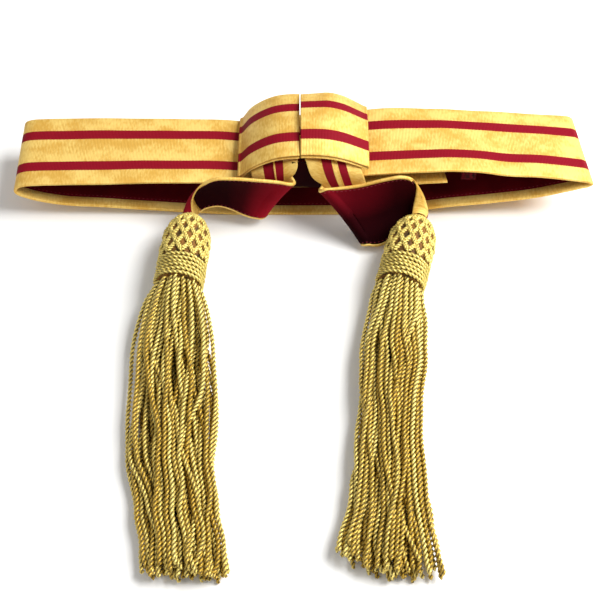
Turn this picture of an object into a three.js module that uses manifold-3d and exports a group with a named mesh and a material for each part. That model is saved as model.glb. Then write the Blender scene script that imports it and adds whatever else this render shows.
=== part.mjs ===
// A ceremonial waist sash of gold lace with two crimson stripes, lying on the back half of its waist loop.
// A two-loop bow closes it, and two lined tails come out of the bow and end in gold bullion tassels.
// Millimetres, +Z up. +X runs along the belt, and the tassels point to -Y.

import * as THREE from 'three';
import { mergeVertices } from 'three/addons/utils/BufferGeometryUtils.js';
import Module from 'manifold-3d';

const wasm = await Module();
wasm.setup();

// Cloth
const LACE_WIDTH = 64;
const LACE_THICKNESS = 1.2;
const LINING_THICKNESS = 1;
const BELT_HEM = 8;
const TAIL_HEM = 2.4;
const CLEARANCE = 0.3;
const LINING_DEPTH = LACE_THICKNESS + CLEARANCE;
const CLOTH_DEPTH = LINING_DEPTH + LINING_THICKNESS;

// Waist loop, bow and tails as they lie
const LOOP_HALF_LENGTH = 219;
const RISE = 73;
const BOW_HALF_LENGTH = 52;
const BOW_CENTRE = -2;
const BOW_LAYER_GAP = 3.9;
const BOW_FOLD_RADIUS = BOW_LAYER_GAP / 2;
const BOW_FOLD_ANGLES = [-50, 0, 50];
const LEFT_CROWN_TURN = 22;
const RIGHT_CROWN_TURN = 48;
const TAIL_SPAN = 90;
const TAIL_REACH = 30;

// Keeper tape inside the right front half
const KEEPER_WIDTH = 11;
const KEEPER_DROP = 17;
const KEEPER_THICKNESS = 1;
const KEEPER_PLACE = 0.548;
const KEEPER_ROW = 40;

// Tassels
const HEAD_RADIUS = 19;
const DOME_LENGTH = 43;
const COLLAR_LENGTH = 20;
const COLLAR_RIBS = 6;
const RIB_DEPTH = 0.9;
const NET_THICKNESS = 1.8;
const COLLAR_THICKNESS = 2.6;
const NET_HOLES_ROUND = 12;
const NET_HOLE_SHARE = 0.38;
const NET_HOLE_TAPER = 0.7;
const NET_HOLE_STRETCH = 1.15;
const NET_HOLE_SIDES = 4;
const SKIRT_LENGTH = 223;
const SKIRT_WIDTH = 65;
const SKIRT_HEIGHT = 32;
const LOCKS = 12;
const LOCK_SCATTER = 5;
const LOCK_FULLNESS = 1.2;
const LOCK_SIDES = 6;
const LOCK_WAVE = 5;
const LEANING_SHARE = 0.25;
const MIDDLE_REACH = 0.97;
const HEAD_SEGMENTS = 20;
const LEFT_HEAD_TURN = -6;
const RIGHT_HEAD_TURN = -15;

// Steps of the faces, and the widths below which a turn or a distance counts as none
const BELT_COLUMNS = 1;
const BOW_COLUMNS = 5;
const BOW_STEPS_PER_ROW = 2;
const TAIL_COLUMNS = 4;
const TAIL_ROLLED_ROWS = 8;
const TAIL_ROLLED_STEPS = 24;
const NORMAL_STEP = 1e-3;
const LEAST_TURN = 0.01;
const MERGE_DISTANCE = 1e-4;

// Colours
const GOLD_LACE = new THREE.MeshStandardMaterial({ color: 0xe0b850, roughness: 0.5, metalness: 0.35 });
const CRIMSON_LINING = new THREE.MeshStandardMaterial({ color: 0x5a0a18, roughness: 0.75, metalness: 0 });
const CRIMSON_TAPE = new THREE.MeshStandardMaterial({ color: 0x8e1530, roughness: 0.7, metalness: 0 });
const TASSEL_GOLD = new THREE.MeshStandardMaterial({ color: 0xc8a83c, roughness: 0.5, metalness: 0.4 });
const TASSEL_MOULD = new THREE.MeshStandardMaterial({ color: 0x8a6420, roughness: 0.8, metalness: 0.1 });

// The belt's outer face, from the inner tongue round the left fold, the back and the right fold to the outer
// end. Each row: x of the near edge and of the far edge in half lengths, and their heights in rises.
const BELT_ROWS = [
  [0.496, 0.440, 0.560, 0.545],
  [0.356, 0.356, 0.527, 0.530],
  [0.174, 0.174, 0.503, 0.515],
  [-0.009, -0.009, 0.490, 0.495],
  [-0.146, -0.146, 0.500, 0.500],
  [-0.283, -0.283, 0.540, 0.545],
  [-0.411, -0.411, 0.545, 0.556],
  [-0.525, -0.525, 0.545, 0.562],
  [-0.699, -0.699, 0.528, 0.568],
  [-0.836, -0.836, 0.516, 0.562],
  [-0.922, -0.915, 0.508, 0.556],
  [-0.968, -0.959, 0.488, 0.545],
  [-0.991, -0.982, 0.450, 0.516],
  [-1.000, -0.991, 0.378, 0.466],
  [-0.991, -0.982, 0.330, 0.412],
  [-0.968, -0.959, 0.285, 0.350],
  [-0.930, -0.918, 0.232, 0.280],
  [-0.831, -0.826, 0.158, 0.190],
  [-0.676, -0.676, 0.118, 0.118],
  [-0.534, -0.534, 0.075, 0.062],
  [-0.420, -0.420, 0.041, 0.021],
  [-0.292, -0.292, 0.010, 0.004],
  [-0.200, -0.200, 0, 0],
  [-0.080, -0.080, 0, 0],
  [0.060, 0.060, 0, 0],
  [0.219, 0.219, 0.011, 0.006],
  [0.333, 0.333, 0.041, 0.027],
  [0.447, 0.447, 0.090, 0.068],
  [0.516, 0.516, 0.130, 0.110],
  [0.685, 0.685, 0.205, 0.205],
  [0.822, 0.817, 0.288, 0.315],
  [0.922, 0.895, 0.384, 0.420],
  [0.966, 0.925, 0.435, 0.480],
  [0.985, 0.944, 0.455, 0.502],
  [1.000, 0.958, 0.502, 0.548],
  [0.985, 0.944, 0.546, 0.592],
  [0.966, 0.925, 0.560, 0.606],
  [0.886, 0.870, 0.608, 0.620],
  [0.808, 0.808, 0.642, 0.637],
  [0.703, 0.703, 0.662, 0.664],
  [0.603, 0.603, 0.716, 0.685],
  [0.498, 0.498, 0.736, 0.712],
  [0.429, 0.429, 0.720, 0.719],
  [0.333, 0.333, 0.695, 0.730],
  [0.247, 0.247, 0.675, 0.712],
  [0.128, 0.128, 0.640, 0.655],
  [0.014, 0.014, 0.608, 0.622],
  [-0.073, -0.073, 0.600, 0.612],
];

// One bow loop's outer face from the middle out along the underside to the fold.
// Each row: x in bow half lengths, and the heights of the near and the far edge in rises.
const RIGHT_BOW_ROWS = [
  [0.008, 0.944, 0.930],
  [0.22, 0.943, 0.944],
  [0.42, 0.924, 0.955],
  [0.63, 0.880, 0.905],
  [0.84, 0.810, 0.805],
  [0.95, 0.770, 0.750],
];
const LEFT_BOW_ROWS = [
  [0.008, 0.937, 0.912],
  [0.18, 0.925, 0.910],
  [0.36, 0.895, 0.884],
  [0.55, 0.826, 0.812],
  [0.73, 0.728, 0.700],
  [0.86, 0.625, 0.552],
];

// Each tail as two edges, from its start under the bow to its neck in the tassel. Each row: the inner edge and
// the outer edge, with x in tail spans, y in tail reaches and z in rises, then the angle that the cloth turns
// through between them, and the way it bulges.
const RIGHT_TAIL_ROWS = [
  [0.045, 1.05, 0.700, 0.475, 1.05, 0.718, 4, 0, 0, 1],
  [0.045, 0.50, 0.790, 0.485, 0.50, 0.745, 8, 0, -0.3, 0.9],
  [0.045, 0.06, 0.875, 0.500, 0.06, 0.765, 10, 0, -0.5, 0.9],
  [0.062, -0.08, 0.807, 0.520, -0.06, 0.712, 14, 0, -0.8, 0.5],
  [0.092, -0.15, 0.705, 0.555, -0.14, 0.561, 14, 0, -0.9, 0.4],
  [0.130, -0.15, 0.640, 0.590, -0.30, 0.381, 12, 0, -0.9, 0.4],
  [0.162, -0.15, 0.610, 0.595, -0.64, 0.170, 10, 0.4, -0.6, 0.5],
  [0.180, -0.165, 0.585, 0.555, -0.96, 0.082, 12, 0.753, 0.341, 0.559],
  [0.165, -0.255, 0.575, 0.540, -1.06, 0.066, 13, 0.753, 0.341, 0.559],
  [0.185, -0.315, 0.610, 0.560, -1.12, 0.085, 12, 0.753, 0.341, 0.559],
  [0.273, -0.285, 0.612, 0.610, -1.14, 0.070, 20, 0.2, 0.8, -0.5],
  [0.480, -0.25, 0.645, 0.680, -1.10, 0.060, 34, 0, 0.85, -0.5],
  [0.700, -0.21, 0.728, 0.745, -0.95, 0.062, 48, 0.1, 0.8, -0.4],
  [0.835, -0.21, 0.765, 0.790, -0.77, 0.075, 66, 0.4, 0.7, -0.3],
  [0.920, -0.24, 0.735, 0.822, -0.60, 0.098, 88, 0.75, 0.5, -0.2],
  [0.956, -0.28, 0.645, 0.850, -0.53, 0.122, 118, 0.95, 0.2, -0.1],
  [0.964, -0.33, 0.540, 0.878, -0.50, 0.144, 158, 1, 0.05, 0],
  [0.955, -0.40, 0.445, 0.900, -0.52, 0.162, 205, 1, 0, 0],
  [0.942, -0.49, 0.370, 0.918, -0.56, 0.178, 245, 1, 0, 0],
  [0.932, -0.60, 0.320, 0.928, -0.63, 0.178, 266, 1, 0, 0],
];
const LEFT_TAIL_ROWS = [
  [-0.035, 1.05, 0.690, -0.420, 1.05, 0.600, 6, 0, 0, 1],
  [-0.030, 0.50, 0.775, -0.420, 0.50, 0.630, 10, 0, -0.3, 0.9],
  [-0.018, 0.06, 0.865, -0.410, 0.06, 0.680, 14, 0, -0.5, 0.9],
  [-0.022, -0.08, 0.795, -0.390, -0.08, 0.590, 16, 0, -0.8, 0.5],
  [-0.040, -0.11, 0.730, -0.355, -0.12, 0.430, 10, 0, -1, 0.2],
  [-0.060, -0.11, 0.702, -0.340, -0.12, 0.260, 8, -0.5, -0.8, 0],
  [-0.068, -0.12, 0.682, -0.335, -0.14, 0.155, 14, -0.852, 0, 0.524],
  [-0.050, -0.20, 0.660, -0.310, -0.23, 0.122, 16, -0.852, 0, 0.524],
  [-0.075, -0.285, 0.688, -0.340, -0.33, 0.137, 14, -0.852, 0, 0.524],
  [-0.180, -0.265, 0.710, -0.395, -0.32, 0.132, 22, -0.2, 0.9, 0],
  [-0.375, -0.245, 0.733, -0.480, -0.28, 0.165, 26, 0, 1, 0],
  [-0.560, -0.24, 0.750, -0.590, -0.24, 0.240, 34, 0, 1, 0],
  [-0.690, -0.25, 0.750, -0.690, -0.26, 0.290, 50, -0.3, 0.9, 0.1],
  [-0.780, -0.28, 0.700, -0.780, -0.30, 0.280, 76, -0.7, 0.6, 0.1],
  [-0.850, -0.33, 0.590, -0.830, -0.36, 0.258, 115, -0.95, 0.3, 0.1],
  [-0.890, -0.40, 0.460, -0.858, -0.42, 0.230, 170, -1, 0.05, 0.05],
  [-0.893, -0.48, 0.370, -0.872, -0.49, 0.205, 225, -1, 0, 0],
  [-0.885, -0.57, 0.315, -0.874, -0.57, 0.180, 268, -1, 0, 0],
];
const LEFT_NECK_OFFSET = 2.8;
const RIGHT_NECK_OFFSET = 4.9;
const NECK_CLEARANCE = 1.6;
const TAIL_LINED_SHARE = 0.81;

// The skirts as they are spread. Each row: the place along the skirt, how far its middle lies beside the
// collar in widths, and its width and height as shares.
const LEFT_SKIRT_ROWS = [
  [0, 0, 0.56, 1.12],
  [0.06, -0.014, 0.79, 1.02],
  [0.25, -0.029, 1.02, 0.76],
  [0.43, -0.002, 1.04, 0.66],
  [0.60, 0.008, 0.95, 0.62],
  [0.78, 0.105, 0.88, 0.58],
  [0.90, 0.187, 0.88, 0.56],
  [1, 0.229, 0.90, 0.55],
];
const RIGHT_SKIRT_ROWS = [
  [0, 0, 0.56, 1.12],
  [0.06, -0.032, 0.67, 1.02],
  [0.25, -0.096, 0.75, 0.82],
  [0.43, -0.144, 0.68, 0.78],
  [0.60, -0.182, 0.71, 0.72],
  [0.78, -0.205, 0.79, 0.66],
  [0.90, -0.235, 1.05, 0.60],
  [1, -0.245, 1.12, 0.56],
];

// The head's outline in shares of the dome's length and of the head's radius
const DOME_ROWS = [
  [0, 0.42],
  [0.14, 0.73],
  [0.34, 0.94],
  [0.60, 1],
  [1, 1],
];
const NET_HOLE_ROWS = [
  [0.20, 0.74],
  [0.41, 0.94],
  [0.62, 1.04],
  [0.83, 1.04],
];

const radians = THREE.MathUtils.degToRad;

// A smooth curve through points that come at equal steps of its parameter
function curveThrough(points) {
  return new THREE.CatmullRomCurve3(points, false, 'centripetal');
}

// A ribbon's face as a function of the way along it and the share across it
function ribbonFace(rows) {
  const inner = curveThrough(rows.map((row) => row.inner));
  const outer = curveThrough(rows.map((row) => row.outer));
  const turn = curveThrough(rows.map((row) => new THREE.Vector3(row.turn, 0, 0)));
  const bulge = curveThrough(rows.map((row) => row.bulge));
  return (along, across) => {
    const start = inner.getPoint(along);
    const end = outer.getPoint(along);
    const angle = radians(turn.getPoint(along).x);
    const chord = end.clone().sub(start);
    if (angle < LEAST_TURN) return start.addScaledVector(chord, across);
    const width = chord.length();
    const acrossWay = chord.normalize();
    const away = bulge.getPoint(along);
    away.addScaledVector(acrossWay, -away.dot(acrossWay)).normalize();
    const radius = width / (2 * Math.sin(angle / 2));
    const middle = start.add(end).multiplyScalar(0.5);
    const place = (across - 0.5) * angle;
    middle.addScaledVector(away, radius * (Math.cos(place) - Math.cos(angle / 2)));
    return middle.addScaledVector(acrossWay, radius * Math.sin(place));
  };
}

// The outward direction of a ribbon's face; side is 1 where across x along points out
function faceNormal(face, along, across, side) {
  const a0 = Math.max(along - NORMAL_STEP, 0);
  const a1 = Math.min(along + NORMAL_STEP, 1);
  const c0 = Math.max(across - NORMAL_STEP, 0);
  const c1 = Math.min(across + NORMAL_STEP, 1);
  const alongWay = face(a1, across).sub(face(a0, across));
  const acrossWay = face(along, c1).sub(face(along, c0));
  return acrossWay.cross(alongWay).multiplyScalar(side).normalize();
}

// A closed body from a flat list of corners and triangles, with its faces turned out
function bodyFrom(corners, triangles) {
  const a = new THREE.Vector3();
  const b = new THREE.Vector3();
  const c = new THREE.Vector3();
  let volume = 0;
  for (let i = 0; i < triangles.length; i += 3) {
    a.fromArray(corners, 3 * triangles[i]);
    b.fromArray(corners, 3 * triangles[i + 1]);
    c.fromArray(corners, 3 * triangles[i + 2]);
    volume += a.dot(b.cross(c));
  }
  const geometry = new THREE.BufferGeometry();
  geometry.setAttribute('position', new THREE.Float32BufferAttribute(corners, 3));
  geometry.setIndex(volume < 0 ? triangles.slice().reverse() : triangles);
  return geometry;
}

// Rings of the same number of corners joined into a closed body with flat ends. Where crossed says so, the
// four-sided faces that start at a corner are divided along their other diagonal.
function skinRings(rings, endTriangles, crossed = []) {
  const count = rings[0].length;
  const corners = rings.flat().flatMap((point) => point.toArray());
  const triangles = [];
  for (let ring = 0; ring < rings.length - 1; ring += 1) {
    for (let i = 0; i < count; i += 1) {
      const near = ring * count + i;
      const next = ring * count + (i + 1) % count;
      if (crossed[i]) {
        triangles.push(near, next, next + count, near, next + count, near + count);
      } else {
        triangles.push(near, next, near + count, next, next + count, near + count);
      }
    }
  }
  const last = (rings.length - 1) * count;
  for (const [i, j, k] of endTriangles) {
    triangles.push(i, k, j, last + i, last + j, last + k);
  }
  return bodyFrom(corners, triangles);
}

// A ribbon of cloth. The section lists its corners as the share across and the depth below the face. All the
// layers are divided along the same diagonals, so that they stay parallel where the ribbon twists.
function clothBody(face, side, steps, section) {
  const rings = steps.map((along) => section.map(([across, depth]) => (
    face(along, across).addScaledVector(faceNormal(face, along, across, side), -depth)
  )));
  const outline = section.map(([across, depth]) => new THREE.Vector2(across * LACE_WIDTH, depth));
  const crossed = section.map(([across], i) => section[(i + 1) % section.length][0] < across);
  return skinRings(rings, THREE.ShapeUtils.triangulateShape(outline, []), crossed);
}

// Shares across the cloth at equal steps between two of them, both included
function spread(from, to, count) {
  return Array.from({ length: count + 1 }, (_, i) => from + (to - from) * i / count);
}

// The lace folded in along both edges, which leaves a recess for the lining
function hemmedSection(hem, columns) {
  const lip = hem / LACE_WIDTH;
  const face = [0, ...spread(lip, 1 - lip, columns), 1];
  return [
    ...face.map((across) => [across, 0]),
    [1, CLOTH_DEPTH],
    [1 - lip, CLOTH_DEPTH],
    ...spread(1 - lip, lip, columns).map((across) => [across, LACE_THICKNESS]),
    [lip, CLOTH_DEPTH],
    [0, CLOTH_DEPTH],
  ];
}

// The lining strip that lies in the recess between the hems, with its corners in line with the lace's
function liningSection(hem, columns) {
  const lip = hem / LACE_WIDTH;
  const edge = (hem + CLEARANCE) / LACE_WIDTH;
  const face = [edge, ...spread(lip, 1 - lip, columns).slice(1, -1), 1 - edge];
  return [
    ...face.map((across) => [across, LINING_DEPTH]),
    ...face.toReversed().map((across) => [across, CLOTH_DEPTH]),
  ];
}

// A single thickness of lace
function plainSection(columns) {
  return [
    ...spread(0, 1, columns).map((across) => [across, 0]),
    ...spread(1, 0, columns).map((across) => [across, LACE_THICKNESS]),
  ];
}

function piece(name, geometry, material) {
  const mesh = new THREE.Mesh(geometry, material);
  mesh.name = name;
  return mesh;
}

function beltFace() {
  return ribbonFace(BELT_ROWS.map(([xNear, xFar, zNear, zFar]) => ({
    inner: new THREE.Vector3(xNear * LOOP_HALF_LENGTH, 0, zNear * RISE),
    outer: new THREE.Vector3(xFar * LOOP_HALF_LENGTH, LACE_WIDTH, zFar * RISE),
    turn: 0,
    bulge: new THREE.Vector3(0, 0, 1),
  })));
}

function belt() {
  const face = beltFace();
  const steps = spread(0, 1, BELT_ROWS.length - 1);
  return [
    piece('belt_lace', clothBody(face, 1, steps, hemmedSection(BELT_HEM, BELT_COLUMNS)), GOLD_LACE),
    piece('belt_lining', clothBody(face, 1, steps, liningSection(BELT_HEM, BELT_COLUMNS)), CRIMSON_LINING),
  ];
}

// A loop of tape hanging from the lining, which the inner tongue slips through
function keeper() {
  const face = beltFace();
  const row = KEEPER_ROW / (BELT_ROWS.length - 1);
  const nearSide = face(row, (BELT_HEM + CLEARANCE) / LACE_WIDTH);
  const farSide = face(row, 1 - (BELT_HEM + CLEARANCE) / LACE_WIDTH);
  const top = Math.min(nearSide.z, farSide.z) - CLOTH_DEPTH - 2 * CLEARANCE;
  const outline = new THREE.Shape();
  outline.moveTo(nearSide.y, top);
  outline.lineTo(farSide.y, top);
  outline.lineTo(farSide.y, top - KEEPER_DROP);
  outline.lineTo(nearSide.y, top - KEEPER_DROP);
  const hollow = new THREE.Path();
  hollow.moveTo(nearSide.y + KEEPER_THICKNESS, top - KEEPER_THICKNESS);
  hollow.lineTo(nearSide.y + KEEPER_THICKNESS, top - KEEPER_DROP + KEEPER_THICKNESS);
  hollow.lineTo(farSide.y - KEEPER_THICKNESS, top - KEEPER_DROP + KEEPER_THICKNESS);
  hollow.lineTo(farSide.y - KEEPER_THICKNESS, top - KEEPER_THICKNESS);
  outline.holes.push(hollow);
  const geometry = new THREE.ExtrudeGeometry(outline, { depth: KEEPER_WIDTH, bevelEnabled: false });
  geometry.rotateY(Math.PI / 2);
  geometry.rotateX(Math.PI / 2);
  geometry.translate(KEEPER_PLACE * LOOP_HALF_LENGTH, 0, 0);
  return piece('belt_keeper', geometry, CRIMSON_TAPE);
}

// One loop of the bow: out along the underside, round the fold and back along the top. It is crowned across.
function bowLoop(name, rows, hand, crownTurn) {
  const place = (x, y, z) => new THREE.Vector3(BOW_CENTRE + hand * x, y, z);
  const halfTurn = radians(crownTurn / 2);
  const reach = LACE_WIDTH * Math.sin(halfTurn) / halfTurn;
  const row = (x, zNear, zFar) => ({
    inner: place(x, 0, zNear),
    outer: place(x, reach, zFar),
    turn: crownTurn,
    bulge: new THREE.Vector3(0, 0, 1),
  });
  const under = rows.map(([x, zNear, zFar]) => (
    row(x * BOW_HALF_LENGTH, zNear * RISE - BOW_LAYER_GAP / 2, zFar * RISE - BOW_LAYER_GAP / 2)
  ));
  const over = rows.map(([x, zNear, zFar]) => (
    row(x * BOW_HALF_LENGTH, zNear * RISE + BOW_LAYER_GAP / 2, zFar * RISE + BOW_LAYER_GAP / 2)
  )).reverse();
  const [x, zNear, zFar] = rows.at(-1);
  const fold = BOW_FOLD_ANGLES.map(radians).map((angle) => {
    const out = BOW_FOLD_RADIUS * Math.cos(angle);
    const up = BOW_FOLD_RADIUS * Math.sin(angle);
    return row(x * BOW_HALF_LENGTH + out, zNear * RISE + up, zFar * RISE + up);
  });
  const path = [...under, ...fold, ...over];
  const steps = spread(0, 1, BOW_STEPS_PER_ROW * (path.length - 1));
  return piece(name, clothBody(ribbonFace(path), hand, steps, plainSection(BOW_COLUMNS)), GOLD_LACE);
}

function tail(name, rows, side) {
  const place = (x, y, z) => new THREE.Vector3(BOW_CENTRE + x * TAIL_SPAN, y * TAIL_REACH, z * RISE);
  const face = ribbonFace(rows.map(([x0, y0, z0, x1, y1, z1, turn, ...bulge]) => ({
    inner: place(x0, y0, z0),
    outer: place(x1, y1, z1),
    turn,
    bulge: new THREE.Vector3(...bulge),
  })));
  const openRows = rows.length - 1 - TAIL_ROLLED_ROWS;
  const rolled = openRows / (rows.length - 1);
  const steps = [...spread(0, rolled, openRows).slice(0, -1), ...spread(rolled, 1, TAIL_ROLLED_STEPS)];
  const linedSteps = steps.filter((along) => along <= TAIL_LINED_SHARE);
  const lace = clothBody(face, side, steps, hemmedSection(TAIL_HEM, TAIL_COLUMNS));
  const lining = clothBody(face, side, linedSteps, liningSection(TAIL_HEM, TAIL_COLUMNS));
  return [piece(`${name}_lace`, lace, GOLD_LACE), piece(`${name}_lining`, lining, CRIMSON_LINING)];
}

function solidOf(geometry) {
  const plain = geometry.clone();
  plain.deleteAttribute('normal');
  plain.deleteAttribute('uv');
  const merged = mergeVertices(plain, MERGE_DISTANCE);
  return new wasm.Manifold(new wasm.Mesh({
    numProp: 3,
    vertProperties: merged.attributes.position.array,
    triVerts: merged.index.array,
  }));
}

function geometryOf(solid) {
  const mesh = solid.getMesh();
  const geometry = new THREE.BufferGeometry();
  geometry.setAttribute('position', new THREE.BufferAttribute(mesh.vertProperties, 3));
  geometry.setIndex(new THREE.BufferAttribute(mesh.triVerts, 1));
  return geometry;
}

// A body turned about the tassel's axis. Each corner of the outline is a radius and a place down the head.
function turned(outline) {
  const points = outline.map(([radius, down]) => new THREE.Vector2(radius, -down)).reverse();
  const geometry = new THREE.LatheGeometry(points, HEAD_SEGMENTS);
  return geometryOf(solidOf(geometry));
}

// The head's outline, drawn in by some depth
function headOutline(depth) {
  return DOME_ROWS.map(([down, radius]) => [radius * HEAD_RADIUS - depth, down * DOME_LENGTH]);
}

function mould() {
  const skin = headOutline(NET_THICKNESS + CLEARANCE);
  const waist = HEAD_RADIUS - COLLAR_THICKNESS - CLEARANCE;
  const end = DOME_LENGTH + COLLAR_LENGTH;
  return turned([[0, 0], ...skin.slice(0, -1), [waist, DOME_LENGTH], [waist, end], [0, end]]);
}

// The crocheted cover of the head, cut through in staggered rows of diamond gaps
function net() {
  const outside = headOutline(0);
  const inside = headOutline(NET_THICKNESS).reverse();
  let shell = solidOf(turned([...outside, ...inside, outside[0]]));
  const pitch = 2 * Math.PI / NET_HOLES_ROUND;
  NET_HOLE_ROWS.forEach(([down, size], row) => {
    for (let i = 0; i < NET_HOLES_ROUND; i += 1) {
      const half = NET_HOLE_SHARE * pitch * HEAD_RADIUS * size;
      const gap = new THREE.CylinderGeometry(half, NET_HOLE_TAPER * half, HEAD_RADIUS, NET_HOLE_SIDES);
      gap.scale(1, 1, NET_HOLE_STRETCH);
      gap.translate(0, HEAD_RADIUS, 0);
      gap.rotateZ(-Math.PI / 2);
      gap.rotateY((i + row / 2) * pitch);
      gap.translate(0, -down * DOME_LENGTH, 0);
      shell = shell.subtract(solidOf(gap));
    }
  });
  return geometryOf(shell);
}

// The bound collar below the net, a ring with rounded ribs
function collar() {
  const start = DOME_LENGTH + CLEARANCE;
  const rib = (COLLAR_LENGTH - CLEARANCE) / COLLAR_RIBS;
  const outside = [];
  for (let i = 0; i < COLLAR_RIBS; i += 1) {
    outside.push([HEAD_RADIUS - RIB_DEPTH, start + i * rib]);
    outside.push([HEAD_RADIUS, start + (i + 0.5) * rib]);
  }
  const end = start + COLLAR_RIBS * rib;
  const bore = HEAD_RADIUS - COLLAR_THICKNESS;
  return turned([...outside, [HEAD_RADIUS - RIB_DEPTH, end], [bore, end], [bore, start], outside[0]]);
}

// A value of a table at a place, between its rows
function tableAt(rows, place, column) {
  const next = Math.max(1, rows.findIndex((row) => row[0] >= place));
  const [low, high] = [rows[next - 1], rows[next]];
  const share = (place - low[0]) / (high[0] - low[0]);
  return low[column] + (high[column] - low[column]) * THREE.MathUtils.smoothstep(share, 0, 1);
}

// A lock of cords, or the packed middle, as a closed tube of oval rings lying along -Y
function ovalTube(rings, sides) {
  const bodies = rings.map(({ x, y, z, lean, halfWidth, halfHeight }) => (
    Array.from({ length: sides }, (_, i) => {
      const angle = 2 * Math.PI * (i + 0.5) / sides;
      const beside = halfWidth * Math.cos(angle);
      const up = halfHeight * Math.sin(angle);
      return new THREE.Vector3(x + beside * Math.cos(lean), y + beside * Math.sin(lean), z + up);
    })
  ));
  const fan = Array.from({ length: sides - 2 }, (_, i) => [0, i + 1, i + 2]);
  return skinRings(bodies, fan);
}

// The skirt's section at a share of its length. It leans with the head at the collar, and lies square below.
function skirtAt(rows, place, top) {
  return {
    x: top.x + tableAt(rows, place, 1) * SKIRT_WIDTH,
    y: top.y - place * SKIRT_LENGTH,
    lean: top.turn * (1 - THREE.MathUtils.smoothstep(place, 0, LEANING_SHARE)),
    width: tableAt(rows, place, 2) * SKIRT_WIDTH,
    height: tableAt(rows, place, 3) * SKIRT_HEIGHT,
  };
}

// The skirt: locks of cords side by side round an oval middle, joined into one body
function skirt(rows, top) {
  const places = rows.map((row) => row[0]);
  const lockRadius = ({ width, height }) => LOCK_FULLNESS * Math.PI * (width + height) / 4 / LOCKS;
  const middle = places.map((place) => {
    const section = skirtAt(rows, place * MIDDLE_REACH, top);
    const radius = lockRadius(section);
    return {
      ...section,
      z: section.height / 2,
      halfWidth: section.width / 2 - radius,
      halfHeight: section.height / 2 - radius,
    };
  });
  let body = solidOf(ovalTube(middle, LOCKS));
  for (let i = 0; i < LOCKS; i += 1) {
    const angle = 2 * Math.PI * (i + 0.5) / LOCKS;
    const reach = 1 - LOCK_SCATTER / SKIRT_LENGTH * (1 + Math.sin(LOCK_WAVE * i));
    const rings = places.map((place) => {
      const section = skirtAt(rows, place, top);
      const radius = lockRadius(section);
      const beside = (section.width / 2 - radius) * Math.cos(angle);
      return {
        x: section.x + beside * Math.cos(section.lean),
        y: top.y - place * reach * SKIRT_LENGTH + beside * Math.sin(section.lean),
        z: section.height / 2 + (section.height / 2 - radius) * Math.sin(angle),
        lean: section.lean,
        halfWidth: radius,
        halfHeight: radius,
      };
    });
    body = body.add(solidOf(ovalTube(rings, LOCK_SIDES)));
  }
  return geometryOf(body);
}

// A whole tassel below its tail's neck: mould, net and collar turned with the head, and the skirt below
function tassel(name, neckX, neckY, turn, skirtRows) {
  const head = new THREE.Group();
  head.add(piece(`${name}_mould`, mould(), TASSEL_MOULD));
  head.add(piece(`${name}_net`, net(), TASSEL_GOLD));
  head.add(piece(`${name}_collar`, collar(), TASSEL_GOLD));
  head.rotation.z = turn;
  head.position.set(neckX, neckY, HEAD_RADIUS);
  const reach = DOME_LENGTH + COLLAR_LENGTH + CLEARANCE;
  const top = { x: neckX + reach * Math.sin(turn), y: neckY - reach * Math.cos(turn), turn };
  return [head, piece(`${name}_skirt`, skirt(skirtRows, top), TASSEL_GOLD)];
}

// The middle of the tassel's top, off to one side of the neck of the tail that it hangs from
function topOf(rows, offset) {
  const [x, innerY, , , outerY] = rows.at(-1);
  const end = Math.min(innerY, outerY) * TAIL_REACH;
  return [BOW_CENTRE + x * TAIL_SPAN + offset, end - NECK_CLEARANCE];
}

const sash = new THREE.Group();
sash.add(...belt());
sash.add(keeper());
sash.add(bowLoop('bow_left_loop', LEFT_BOW_ROWS, -1, LEFT_CROWN_TURN));
sash.add(bowLoop('bow_right_loop', RIGHT_BOW_ROWS, 1, RIGHT_CROWN_TURN));
sash.add(...tail('tail_left', LEFT_TAIL_ROWS, 1));
sash.add(...tail('tail_right', RIGHT_TAIL_ROWS, -1));
const [leftX, leftY] = topOf(LEFT_TAIL_ROWS, -LEFT_NECK_OFFSET);
sash.add(...tassel('tassel_left', leftX, leftY, radians(LEFT_HEAD_TURN), LEFT_SKIRT_ROWS));
const [rightX, rightY] = topOf(RIGHT_TAIL_ROWS, RIGHT_NECK_OFFSET);
sash.add(...tassel('tassel_right', rightX, rightY, radians(RIGHT_HEAD_TURN), RIGHT_SKIRT_ROWS));

// The origin is under the middle of the whole sash, on the surface that it lies on
const box = new THREE.Box3().setFromObject(sash);
const middle = box.getCenter(new THREE.Vector3());
sash.position.set(-middle.x, -middle.y, -box.min.z);

export default sash;
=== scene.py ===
# A ceremonial waist sash of gold lace, lying on the back half of its waist loop, with a bow, two lined tails
# and two gold bullion tassels. Metres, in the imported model's own frame: +X along the belt, tassels to -Y,
# +Z up.

import math

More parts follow.
